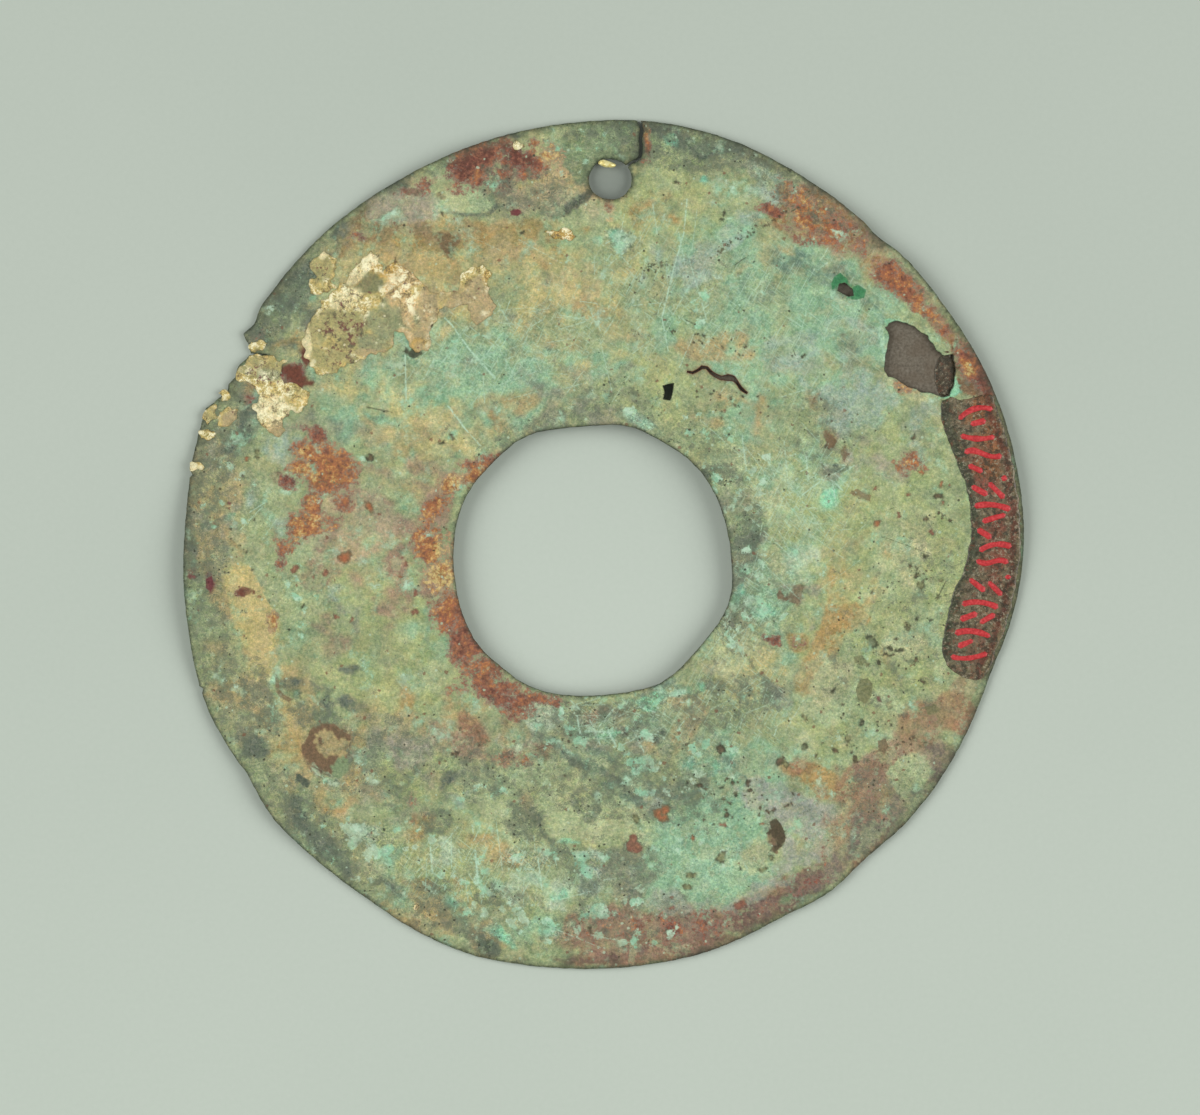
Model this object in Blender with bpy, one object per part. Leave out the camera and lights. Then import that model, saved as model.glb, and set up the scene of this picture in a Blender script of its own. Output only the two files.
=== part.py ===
# A gilt copper plaque: a hammered round sheet with a large round opening off its centre, a small hanging
# hole near the rim, and the splits, losses and worn edges of an excavated piece. A thin sheet backs it
# behind the upper right, where pieces of it are lost. It lies face up: +Z is the front, +Y the top.

import math

import bmesh
import bpy
from mathutils import Vector

MM = 0.001

# The sheet
DISC_RADIUS = 42.0 * MM
SHEET_THICKNESS = 0.6 * MM
NET_CELL = 2.6 * MM
RIM_STEPS = 180

# The opening, off the centre to the lower left
OPENING_RADIUS = 13.9 * MM
OPENING_LEFT = 1.1 * MM
OPENING_BELOW = 1.65 * MM
OPENING_STEPS = 72

# The hanging hole and the split that runs into it from the rim
HOLE_RADIUS = 2.1 * MM
HOLE_BEARING = 89.0
HOLE_INSET = 5.87 * MM
HOLE_STEPS = 28
SPLIT_WIDTH = 0.32 * MM
SPLIT_RIM_BEARING = 85.3
SPLIT_HOLE_BEARING = 37.0

# The sizes of the losses, each across its longest way
LARGE_LOSS_SIZE = 7.1 * MM
SMALL_LOSS_SIZE = 1.8 * MM
DARK_HOLE_SIZE = 1.7 * MM
CRACK_LENGTH = 6.0 * MM
RIM_CRACK_LENGTH = 1.9 * MM
RIM_CRACK_BEARING = -3.0
RIM_CRACK_WIDTH = 0.22 * MM

# The backing, and the bond line between it and the sheet
BACKING_LENGTH = 29.0 * MM
BACKING_WIDTH = 14.8 * MM
BACKING_THICKNESS = 0.35 * MM
BOND_GAP = 0.3 * MM

# The sheet swells over the backing, so that the backing's ends stay this far off the resting face, and the
# swell dies out at this share of the backing's length from its middle
BACKING_CLEARANCE = 0.3 * MM
BACKING_SWELL_SHARE = 1.2

# The sheet also stands up a little all round the opening
OPENING_RISE = 1.15 * MM
OPENING_RISE_REACH = 17.0 * MM

# How far a cutter reaches past both faces of the sheet, and a slab past its outline
REACH = 4.0 * MM
NET_MARGIN = 2.5 * MM

# Corners nearer than this are one corner
WELD = 0.004 * MM

# The wear and the wander of the outlines below are counted in this length
WEAR = 1.0 * MM

# The rim's wander from a true circle: bearing in degrees anticlockwise from +X, and the way outwards
RIM_WANDER = (
    (2, 0.05), (14, 0.0), (24, -0.1), (35, -0.42), (44, -0.45), (48.6, -0.8), (51, -0.6), (57, -0.35),
    (65, 0.0), (72, 0.4), (83, 0.6), (96, 0.3), (107, 0.05), (118, -0.15), (132, -0.1), (145, -0.2),
    (162, 0.1), (176, -0.1), (184, 0.15), (192, 0.45), (202, 0.95), (210, 0.6), (213, 0.45), (219, 0.95),
    (229, 0.72), (237, 0.7), (245, 1.05), (253, 1.15), (262, 0.75), (275, 0.35), (285, 0.05),
    (295, -0.6), (303, -0.5), (309.6, -1.05), (318, -0.85), (332, -1.05), (342, -1.15), (349, -0.55),
    (356, -0.1),
)

# The ragged stretch of the upper left rim, corner by corner, with the notch that its crack starts from
RIM_NOTCH = (151.7, -1.8)
RAGGED_RIM = (
    (146.4, -0.4), (147.6, -0.6), (149.7, -0.2), (150.3, -0.7), (150.7, -1.35), RIM_NOTCH,
    (152.6, -1.65), (154.1, -1.3), (155.6, -1.5), (156.9, -1.1), (157.8, -1.3), (159.3, -0.7),
    (160.1, -0.4), (161.1, 0.15),
)

# Small chips along the rim: bearing, half width in degrees and depth
RIM_CHIPS = ((170.4, 0.45, 0.2), (199.8, 0.5, 0.3))

# The opening's wander, which makes it slightly polygonal
OPENING_WANDER = (
    (0, -0.05), (14, -0.15), (41, 0.05), (60, -0.15), (75, 0.0), (90, -0.4), (103, -0.35), (114, 0.1),
    (121, 0.25), (135, 0.1), (154, 0.3), (185, 0.0), (214, 0.3), (230, 0.1), (242, 0.15), (263, -0.3),
    (275, -0.45), (288, -0.25), (299, 0.05), (322, -0.2), (337, 0.2), (345, 0.3),
)

# The hanging hole's burred edge
HOLE_WANDER = (
    (0, 0.05), (40, 0.0), (75, -0.15), (110, 0.0), (160, -0.05), (200, 0.1), (250, 0.0), (310, 0.05),
)

# The losses, as corners in shares of their own size around their middle
LARGE_LOSS = (
    (-0.5, 0.45), (-0.35, 0.53), (-0.22, 0.52), (-0.11, 0.47), (0.02, 0.37), (0.11, 0.32), (0.17, 0.21),
    (0.22, 0.12), (0.39, 0.06), (0.48, 0.08), (0.5, -0.22), (0.46, -0.39), (0.41, -0.5), (0.31, -0.53),
    (0.19, -0.48), (0.04, -0.46), (-0.11, -0.4), (-0.22, -0.35), (-0.35, -0.27), (-0.44, -0.24),
    (-0.5, -0.13), (-0.48, 0.06), (-0.43, 0.21), (-0.44, 0.39),
)
SMALL_LOSS = (
    (-0.5, 0.02), (-0.46, 0.24), (-0.02, 0.38), (0.42, 0.02), (0.49, -0.34), (0.2, -0.39), (-0.16, -0.2),
)
DARK_HOLE = ((-0.31, 0.35), (0.31, 0.5), (0.24, -0.04), (0.08, -0.5), (-0.31, -0.42), (-0.23, 0.02))

# The crack: along it and across it in shares of its length, and its half width
CRACK = (
    (0.0, 0.0, 0.06), (0.09, -0.02, 0.1), (0.175, 0.02, 0.08), (0.25, 0.075, 0.12), (0.33, 0.065, 0.1),
    (0.39, 0.0, 0.12), (0.48, -0.065, 0.14), (0.57, -0.105, 0.16), (0.68, -0.095, 0.28),
    (0.77, -0.115, 0.22), (0.83, -0.175, 0.13), (0.9, -0.285, 0.12), (1.0, -0.36, 0.06),
)

# The split's path: share of the way from the rim to the hole, and the way sideways
SPLIT = (
    (0.0, 0.0), (0.13, 0.43), (0.24, 0.61), (0.37, 0.63), (0.49, 0.87), (0.63, 1.04), (0.745, 1.08),
    (0.83, 0.78), (0.885, 0.4), (1.0, 0.0),
)

# Where each lies on the band between the opening and the rim: bearing, and share of the way outwards
LARGE_LOSS_PLACE = (30.4, 0.827)
SMALL_LOSS_PLACE = (46.6, 0.786)
DARK_HOLE_PLACE = (67.0, 0.152)
CRACK_PLACE = (64.3, 0.24)
BACKING_PLACE = (42.0, 0.602)

# The backing's corners in shares of its length and width, trimmed around the losses that it covers
BACKING = (
    (-0.5, -0.05), (-0.43, 0.02), (-0.22, 0.1), (-0.03, 0.37), (0.03, 0.48), (0.13, 0.5), (0.28, 0.34),
    (0.39, 0.135), (0.47, -0.05), (0.5, -0.27), (0.45, -0.44), (0.31, -0.5), (0.09, -0.45),
    (-0.155, -0.43), (-0.3, -0.41), (-0.43, -0.32), (-0.49, -0.2),
)

# Where the rim rises off what the sheet lies on: bearing, share of the way outwards, reach as a share of
# the disc's radius, and rise. The rises over the backing and at the opening have their own values above.
SWELLS = (
    (184.0, 1.0, 0.42, 1.3),
    (216.0, 1.0, 0.33, 0.7),
    (112.0, 1.0, 0.3, 0.7),
    (8.0, 1.0, 0.33, 0.4),
)

# The long soft crease beside the hanging hole: its two ends, half width and rise
CREASE_ENDS = ((119.0, 0.78), (91.0, 0.7))
CREASE_HALF_WIDTH = 4.5 * MM
CREASE_RISE = 0.45 * MM


def bearing_point(bearing, distance):
    turn = math.radians(bearing)
    return Vector((math.cos(turn), math.sin(turn))) * distance


def wander(points, bearing):
    # A smooth closed curve through the points, so that the last runs on into the first
    count = len(points)
    for i in range(count):
        a = points[i]
        b = points[(i + 1) % count]
        span = (b[0] - a[0]) % 360
        along = (bearing - a[0]) % 360
        if along < span:
            break
    before = points[i - 1]
    after = points[(i + 2) % count]
    slope_a = (b[1] - before[1]) / ((b[0] - before[0]) % 360) * span
    slope_b = (after[1] - a[1]) / ((after[0] - a[0]) % 360) * span
    t = along / span
    rest = 1 - t
    return (
        a[1] * (1 + 2 * t) * rest * rest
        + slope_a * t * rest * rest
        + b[1] * (3 - 2 * t) * t * t
        - slope_b * t * t * rest
    )


def rim_distance(bearing):
    return DISC_RADIUS + wander(RIM_WANDER, bearing) * WEAR


def opening_centre():
    return Vector((-OPENING_LEFT, -OPENING_BELOW))


def opening_distance(bearing):
    # From the disc's centre along the bearing to the opening's mean circle
    along = bearing_point(bearing, 1.0).dot(opening_centre())
    aside = opening_centre().length_squared - along * along
    return along + math.sqrt(OPENING_RADIUS ** 2 - aside)


def on_band(place):
    bearing, share = place
    inner = opening_distance(bearing)
    return bearing_point(bearing, inner + share * (rim_distance(bearing) - inner))


def rim_loop():
    first, last = RAGGED_RIM[0][0], RAGGED_RIM[-1][0]
    step = 360 / RIM_STEPS
    corners = list(RAGGED_RIM)
    for i in range(RIM_STEPS):
        bearing = (i + 0.5) * step
        chipped = any(abs(bearing - at) < half for at, half, depth in RIM_CHIPS)
        if (bearing < first - step / 2 or bearing > last + step / 2) and not chipped:
            corners.append((bearing, wander(RIM_WANDER, bearing)))
    for at, half, depth in RIM_CHIPS:
        level = wander(RIM_WANDER, at)
        corners += [(at - half, level), (at, level - depth), (at + half, level)]
    return [bearing_point(b, DISC_RADIUS + out * WEAR) for b, out in sorted(corners)]


def round_loop(centre, radius, points, steps):
    loop = []
    for i in range(steps):
        bearing = (i + 0.5) * 360 / steps
        loop.append(centre + bearing_point(bearing, radius + wander(points, bearing) * WEAR))
    return loop


def hole_centre():
    return bearing_point(HOLE_BEARING, rim_distance(HOLE_BEARING) - HOLE_INSET)


def shape_loop(corners, place, length, width):
    middle = on_band(place)
    return [middle + Vector((u * length, v * width)) for u, v in corners]


def ribbon_loop(path, half_widths):
    # One side of the path outwards and the other side back
    left, right = [], []
    for i, point in enumerate(path):
        way = (path[min(i + 1, len(path) - 1)] - path[max(i - 1, 0)]).normalized()
        aside = Vector((-way.y, way.x)) * half_widths[i]
        left.append(point + aside)
        right.append(point - aside)
    return right + left[::-1]


def crack_loop():
    start = on_band(CRACK_PLACE)
    path = [start + Vector((along, across)) * CRACK_LENGTH for along, across, half in CRACK]
    return ribbon_loop(path, [half * WEAR for along, across, half in CRACK])


def split_loop():
    # It starts outside the rim and ends inside the hole
    rim = bearing_point(SPLIT_RIM_BEARING, rim_distance(SPLIT_RIM_BEARING))
    end = hole_centre() + bearing_point(SPLIT_HOLE_BEARING, 0.95 * HOLE_RADIUS)
    way = end - rim
    aside = Vector((-way.y, way.x)).normalized()
    path = [rim + bearing_point(SPLIT_RIM_BEARING, SPLIT_WIDTH)]
    path += [rim + way * share + aside * side * WEAR for share, side in SPLIT]
    return ribbon_loop(path, [SPLIT_WIDTH / 2] * len(path))


def rim_crack_loop():
    # A wedge from just outside the notch in the ragged rim to its tip in the sheet
    notch = bearing_point(RIM_NOTCH[0], DISC_RADIUS + RIM_NOTCH[1] * WEAR)
    inward = bearing_point(RIM_CRACK_BEARING, 1.0)
    mouth = notch - inward * RIM_CRACK_WIDTH * 2
    aside = Vector((-inward.y, inward.x)) * RIM_CRACK_WIDTH / 2
    return [mouth - aside, notch + inward * RIM_CRACK_LENGTH, mouth + aside]


def bump(away, reach):
    # One at its middle, falling softly to zero at its reach
    return math.cos(away / reach * math.pi / 2) ** 2 if away < reach else 0.0


def backing_rise(reach):
    needed = BOND_GAP + BACKING_THICKNESS + BACKING_CLEARANCE
    return needed / bump(BACKING_LENGTH / 2, reach)


def lift(point):
    # The height of the sheet's underside, zero where it rests
    reach = BACKING_SWELL_SHARE * BACKING_LENGTH
    rise = backing_rise(reach) * bump((point - on_band(BACKING_PLACE)).length, reach)
    off_opening = max(0.0, (point - opening_centre()).length - OPENING_RADIUS)
    rise += OPENING_RISE * bump(off_opening, OPENING_RISE_REACH)
    for bearing, share, reach, height in SWELLS:
        rise += height * WEAR * bump((point - on_band((bearing, share))).length, reach * DISC_RADIUS)
    start, end = on_band(CREASE_ENDS[0]), on_band(CREASE_ENDS[1])
    along = end - start
    share = min(1, max(0, (point - start).dot(along) / along.length_squared))
    return rise + CREASE_RISE * bump((point - start - along * share).length, CREASE_HALF_WIDTH)


def material(name, colour, roughness, metallic):
    made = bpy.data.materials.new(name)
    made.use_nodes = True
    shader = made.node_tree.nodes["Principled BSDF"]
    shader.inputs["Base Color"].default_value = (*colour, 1.0)
    shader.inputs["Roughness"].default_value = roughness
    shader.inputs["Metallic"].default_value = metallic
    made.diffuse_color = (*colour, 1.0)
    return made


def new_object(name, mesh):
    made = bpy.data.objects.new(name, mesh)
    bpy.context.scene.collection.objects.link(made)
    return made


def net_slab(name, centre, length, width, thickness):
    # A flat slab whose two faces are a net of cells, so that it can be bent afterwards
    half_length = length / 2 + NET_MARGIN
    half_width = width / 2 + NET_MARGIN
    shape = bmesh.new()
    bmesh.ops.create_grid(
        shape,
        x_segments=max(2, round(2 * half_length / NET_CELL)),
        y_segments=max(2, round(2 * half_width / NET_CELL)),
        size=1.0,
    )
    bmesh.ops.scale(shape, vec=(half_length, half_width, 1), verts=shape.verts)
    raised = bmesh.ops.extrude_face_region(shape, geom=shape.faces[:])
    top = [v for v in raised["geom"] if isinstance(v, bmesh.types.BMVert)]
    bmesh.ops.translate(shape, vec=(0, 0, thickness), verts=top)
    bmesh.ops.translate(shape, vec=(centre.x, centre.y, 0), verts=shape.verts)
    bmesh.ops.recalc_face_normals(shape, faces=shape.faces)
    mesh = bpy.data.meshes.new(name)
    shape.to_mesh(mesh)
    shape.free()
    return new_object(name, mesh)


def cutter(name, loop):
    # An upright prism of the outline, past both faces of the sheet
    shape = bmesh.new()
    floor = shape.faces.new([shape.verts.new((p.x, p.y, -REACH)) for p in loop])
    raised = bmesh.ops.extrude_face_region(shape, geom=[floor])
    top = [v for v in raised["geom"] if isinstance(v, bmesh.types.BMVert)]
    bmesh.ops.translate(shape, vec=(0, 0, 2 * REACH), verts=top)
    bmesh.ops.recalc_face_normals(shape, faces=shape.faces)
    mesh = bpy.data.meshes.new(name)
    shape.to_mesh(mesh)
    shape.free()
    made = new_object(name, mesh)
    made.hide_render = True
    made.display_type = "WIRE"
    return made


def cut(target, tool, operation="DIFFERENCE"):
    step = target.modifiers.new(tool.name, "BOOLEAN")
    step.operation = operation
    step.object = tool
    step.solver = "EXACT"


def settle(target, height):
    # The cuts are made final, and each point is raised to the height of the bent sheet
    bpy.context.view_layer.update()
    ready = target.evaluated_get(bpy.context.evaluated_depsgraph_get())
    mesh = bpy.data.meshes.new_from_object(ready)
    target.modifiers.clear()
    target.data = mesh
    shape = bmesh.new()
    shape.from_mesh(mesh)
    bmesh.ops.remove_doubles(shape, verts=shape.verts, dist=WELD)
    bmesh.ops.dissolve_degenerate(shape, edges=shape.edges, dist=WELD)
    bmesh.ops.triangulate(shape, faces=shape.faces[:])
    for vert in shape.verts:
        vert.co.z += height(vert.co.xy)
    shape.to_mesh(mesh)
    shape.free()
    mesh.shade_smooth()
    mesh.set_sharp_from_angle(angle=math.radians(40))


def make_disc():
    disc = net_slab("disc", Vector((0, 0)), 2 * DISC_RADIUS, 2 * DISC_RADIUS, SHEET_THICKNESS)
    cut(disc, cutter("rim_outline", rim_loop()), "INTERSECT")
    opening = round_loop(opening_centre(), OPENING_RADIUS, OPENING_WANDER, OPENING_STEPS)
    cut(disc, cutter("opening_cut", opening))
    hole = round_loop(hole_centre(), HOLE_RADIUS, HOLE_WANDER, HOLE_STEPS)
    cut(disc, cutter("hanging_hole_cut", hole))
    cut(disc, cutter("split_cut", split_loop()))
    large = shape_loop(LARGE_LOSS, LARGE_LOSS_PLACE, LARGE_LOSS_SIZE, LARGE_LOSS_SIZE)
    cut(disc, cutter("large_loss_cut", large))
    small = shape_loop(SMALL_LOSS, SMALL_LOSS_PLACE, SMALL_LOSS_SIZE, SMALL_LOSS_SIZE)
    cut(disc, cutter("small_loss_cut", small))
    dark = shape_loop(DARK_HOLE, DARK_HOLE_PLACE, DARK_HOLE_SIZE, DARK_HOLE_SIZE)
    cut(disc, cutter("dark_hole_cut", dark))
    cut(disc, cutter("crack_cut", crack_loop()))
    cut(disc, cutter("rim_crack_cut", rim_crack_loop()))
    settle(disc, lift)
    disc.data.materials.append(material("patinated_copper", (0.29, 0.34, 0.2), 0.7, 0.25))
    return disc


def make_backing():
    middle = on_band(BACKING_PLACE)
    backing = net_slab("backing", middle, BACKING_LENGTH, BACKING_WIDTH, BACKING_THICKNESS)
    outline = shape_loop(BACKING, BACKING_PLACE, BACKING_LENGTH, BACKING_WIDTH)
    cut(backing, cutter("backing_outline", outline), "INTERSECT")
    below = BOND_GAP + BACKING_THICKNESS
    settle(backing, lambda point: lift(point) - below)
    backing.data.materials.append(material("backing_sheet", (0.16, 0.13, 0.1), 0.8, 0.0))
    return backing


def centre_on(disc, pieces):
    # The middle of the disc's own reach is put over the origin, and its lowest face at height zero
    reach = [[vert.co[i] for vert in disc.data.vertices] for i in range(3)]
    low = [min(values) for values in reach]
    high = [max(values) for values in reach]
    shift = Vector((-(low[0] + high[0]) / 2, -(low[1] + high[1]) / 2, -low[2]))
    for piece in pieces:
        for vert in piece.data.vertices:
            vert.co += shift
        piece.data.update()


def main():
    for old in list(bpy.data.objects):
        bpy.data.objects.remove(old, do_unlink=True)
    disc = make_disc()
    backing = make_backing()
    centre_on(disc, (disc, backing))


main()
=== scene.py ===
# The finish of a gilt copper plaque around its solids: the hammered sheet with its corrosion, scratches and
# pits, the remains of gold leaf, the coat of dark lacquer with dabs of red paint, the backing behind the
# losses, and the pale board and soft light that it lies in.

import math

import bmesh
import bpy
import numpy as np
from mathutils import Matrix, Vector, kdtree
from mathutils.geometry import delaunay_2d_cdt


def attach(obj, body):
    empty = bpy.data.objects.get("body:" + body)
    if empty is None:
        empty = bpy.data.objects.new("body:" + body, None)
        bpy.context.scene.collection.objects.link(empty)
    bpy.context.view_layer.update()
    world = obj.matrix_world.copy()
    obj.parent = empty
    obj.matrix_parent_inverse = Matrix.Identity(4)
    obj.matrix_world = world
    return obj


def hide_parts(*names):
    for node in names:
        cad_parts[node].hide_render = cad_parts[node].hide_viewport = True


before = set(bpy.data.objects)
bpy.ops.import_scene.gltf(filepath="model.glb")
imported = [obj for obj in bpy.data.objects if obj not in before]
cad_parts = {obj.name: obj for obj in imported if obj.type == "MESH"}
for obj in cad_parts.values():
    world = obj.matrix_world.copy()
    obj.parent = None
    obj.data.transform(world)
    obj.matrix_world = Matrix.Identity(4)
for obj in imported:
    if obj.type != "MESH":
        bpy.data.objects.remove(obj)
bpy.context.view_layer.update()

# Lengths are in millimetres, and MM turns them into metres
MM = 0.001

# Places on the front are counted in tenths of a millimetre, to the right and down from this corner, as on a
# drawing of the front at ten times its size
TENTH = 0.1
CORNER = (-60.38, 54.45)

# The sheet, and how its heights rise off the board, as in the solids. A swell has a place, a reach and a
# height, and the backing is held at a distance by its bond.
SHEET = 0.6
OPENING = (-1.09, -1.63)
OPENING_RADIUS = 13.9
OPENING_RISE = 1.15
OPENING_REACH = 17.0
SWELLS = (
    (22.15, 19.96, 34.8, 1.509),
    (-42.04, -2.92, 17.64, 1.3),
    (-34.55, -25.09, 13.86, 0.7),
    (-15.7, 38.91, 12.6, 0.7),
    (41.64, 5.87, 13.86, 0.4),
)
CREASE = ((-17.19, 31.04), (-0.57, 33.39))
HOLE = (0.65, 36.64)
CREASE_HALF_WIDTH = 4.5
CREASE_RISE = 0.45
BOND = 0.3

# The mesh of the sheet: spacing of its points on the front, on the back and along its edge, the rows that
# round its edge, each with its way inwards and its share of the thickness, the bend in degrees at which a
# corner stays sharp, and how ragged the rims are
FRONT_SPACING = 0.283
BACK_SPACING = 0.85
EDGE_STEP = 0.27
EDGE_ROWS = ((0.1, 1.0), (0.03, 0.93), (0.0, 0.74), (0.0, 0.26), (0.03, 0.07), (0.1, 0.0))
SHARP_TURN = 32.0
EDGE_WEAR = 0.05
LOSS_WEAR = 0.22
FRONT = 0
EDGE = 1
BACK = 2

# The pieces that lie on the sheet or under it, in millimetres: rows as above, thicknesses, the gap and the
# depth of the backing, and the curl of gilding with its place in tenths
THIN_ROWS = ((0.05, 1.0), (0.0, 0.7), (0.0, 0.0))
DAB_ROWS = ((0.02, 1.0), (0.0, 0.6), (0.0, 0.0))
LEAF_THICKNESS = 0.09
LEAF_SPACING = 0.17
COAT_THICKNESS = 0.06
DAB_HALF_WIDTH = 0.28
BACKING_GAP = 0.02
BACKING_THICKNESS = 0.35
BACKING_DEPTH = 0.5
BURR_PLACE = (606.8, 163.4)
BURR_SIZE = (0.85, 0.36, 0.32)
BURR_TURN = -12.0

# How patches are painted: how far their soft edges reach, how uneven they are and how well they cover; and
# the depths of the marks, the half width of a scratch as a share of its width, the softness of a shape's
# edge that still needs extra points, and the raggedness from which a shape has gaps
PATCH_EDGE = 0.7
PATCH_GRAIN = 1.05
PATCH_COVER = 0.92
OXIDE_SOFT = 1.1
SCRATCH_SHARE = 0.32
SCRATCH_DEPTH = 0.03
SPOT_DEPTH = 0.04
CRISP = 0.2
GAPPY = 1.1

# The camera looks straight down; the picture is this wide on the sheet, around this middle
PICTURE_WIDTH = 120.0
PICTURE_MIDDLE = (-0.38, -1.3)
PICTURE_HEIGHT = 1.4
LENS = 200.0
FILM = 36.0

# The pale board, and a soft light on each side: name, bearing and power
BOARD_SIZE = 3.0
LIGHTS = (("right_light", -6, 11.45), ("left_light", 170, 11.85))
LIGHT_RISE = 40
LIGHT_DISTANCE = 1.3
LIGHT_SIZE = 1.15
ROOM_GLOW = 0.25

# Colours of the corrosion, linear
COLOURS = {
    "sage": (0.31, 0.37, 0.19),
    "lime": (0.37, 0.43, 0.19),
    "pale": (0.40, 0.50, 0.27),
    "cream": (0.47, 0.50, 0.27),
    "mint": (0.27, 0.46, 0.28),
    "turquoise": (0.21, 0.50, 0.32),
    "foam": (0.40, 0.62, 0.42),
    "frost": (0.32, 0.43, 0.33),
    "lilac": (0.33, 0.36, 0.28),
    "ash": (0.25, 0.27, 0.185),
    "moss": (0.215, 0.29, 0.15),
    "teal": (0.15, 0.23, 0.165),
    "slate": (0.125, 0.155, 0.115),
    "night": (0.07, 0.08, 0.06),
    "tan": (0.42, 0.34, 0.16),
    "ochre": (0.38, 0.27, 0.105),
    "bark": (0.26, 0.20, 0.10),
    "peach": (0.54, 0.39, 0.20),
    "rose": (0.33, 0.235, 0.155),
    "clay": (0.30, 0.17, 0.10),
    "plum": (0.17, 0.11, 0.085),
    "brown": (0.15, 0.095, 0.06),
    "emerald": (0.05, 0.22, 0.09),
    "maroon": (0.15, 0.03, 0.04),
    "umber": (0.085, 0.07, 0.04),
    "dun": (0.43, 0.36, 0.215),
    "flake": (0.53, 0.45, 0.19),
    "sand": (0.49, 0.44, 0.19),
    "russet": (0.31, 0.157, 0.062),
    "cocoa": (0.215, 0.15, 0.095),
    "terracotta": (0.27, 0.175, 0.115),
    "mauve": (0.19, 0.155, 0.12),
    "straw": (0.50, 0.455, 0.20),
    "rust": (0.17, 0.085, 0.038),
    "liver": (0.15, 0.055, 0.035),
    "leek": (0.41, 0.48, 0.255),
    "milk": (0.46, 0.58, 0.38),
    "jade": (0.25, 0.60, 0.37),
    "thistle": (0.37, 0.35, 0.255),
    "peat": (0.175, 0.115, 0.065),
    "tarn": (0.085, 0.11, 0.08),
    "dust": (0.33, 0.27, 0.115),
    "honey": (0.47, 0.38, 0.165),
    "apricot": (0.58, 0.46, 0.215),
    "olive": (0.17, 0.175, 0.085),
    "heath": (0.335, 0.235, 0.13),
}

# Colours of what lies on that skin, and the red oxide from its coolest to its warmest
SKIN_COLOURS = {
    "dry": (0.41, 0.37, 0.185),
    "lump": (0.40, 0.55, 0.36),
    "gap": (0.15, 0.18, 0.115),
    "vein": (0.095, 0.125, 0.09),
    "streak": (0.46, 0.66, 0.47),
    "cool_haze": (0.20, 0.14, 0.115),
    "warm_haze": (0.34, 0.235, 0.15),
    "veil": (0.32, 0.215, 0.15),
    "grit": (0.115, 0.145, 0.10),
    "froth": (0.41, 0.55, 0.38),
    "green_froth": (0.28, 0.60, 0.39),
    "peak": (0.58, 0.78, 0.58),
    "dot": (0.05, 0.055, 0.035),
    "crumb": (0.20, 0.095, 0.055),
    "salt_and_glint": (0.50, 0.66, 0.46),
    "scratch": (0.50, 0.72, 0.53),
    "gash": (0.06, 0.06, 0.035),
    "margin": (0.085, 0.09, 0.055),
    # Dark tarnish and painted shade along the rim, the opening and the sheet's side
    "edge": (0.035, 0.045, 0.03),
    "torn": (0.15, 0.055, 0.035),
}
OXIDE_RAMP = (
    (0.0, (0.13, 0.032, 0.028)), (0.25, (0.22, 0.075, 0.05)), (0.45, (0.30, 0.115, 0.06)),
    (0.62, (0.37, 0.135, 0.05)), (0.78, (0.45, 0.22, 0.075)), (0.9, (0.50, 0.33, 0.12)),
    (1.0, (0.56, 0.44, 0.18)),
)

# Colours of the other finishes
GILT_COLOURS = {
    "glint": (1.0, 0.95, 0.62),
    "wear_and_shade": (0.16, 0.125, 0.055),
    "salt_and_glint": (0.85, 0.80, 0.52),
    "edge": (0.20, 0.13, 0.06),
}
PIT_RAMP = ((0.42, (0.10, 0.095, 0.045)), (0.5, (0.14, 0.075, 0.04)), (0.56, (0.14, 0.035, 0.028)))
PAINT_RAMP = ((0.3, (0.34, 0.02, 0.02)), (0.5, (0.54, 0.032, 0.035)), (0.7, (0.66, 0.07, 0.07)))
BACKING_RAMP = ((0.3, (0.10, 0.085, 0.065)), (0.5, (0.155, 0.135, 0.10)), (0.72, (0.21, 0.185, 0.145)))
BACKING_STAIN = (0.12, 0.09, 0.06)
GOLD_RAMP = ((0.35, (0.80, 0.66, 0.20)), (0.6, (1.0, 0.93, 0.45)))
BOARD_RAMP = ((0.35, (0.481, 0.543, 0.471)), (0.65, (0.505, 0.566, 0.493)))

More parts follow.
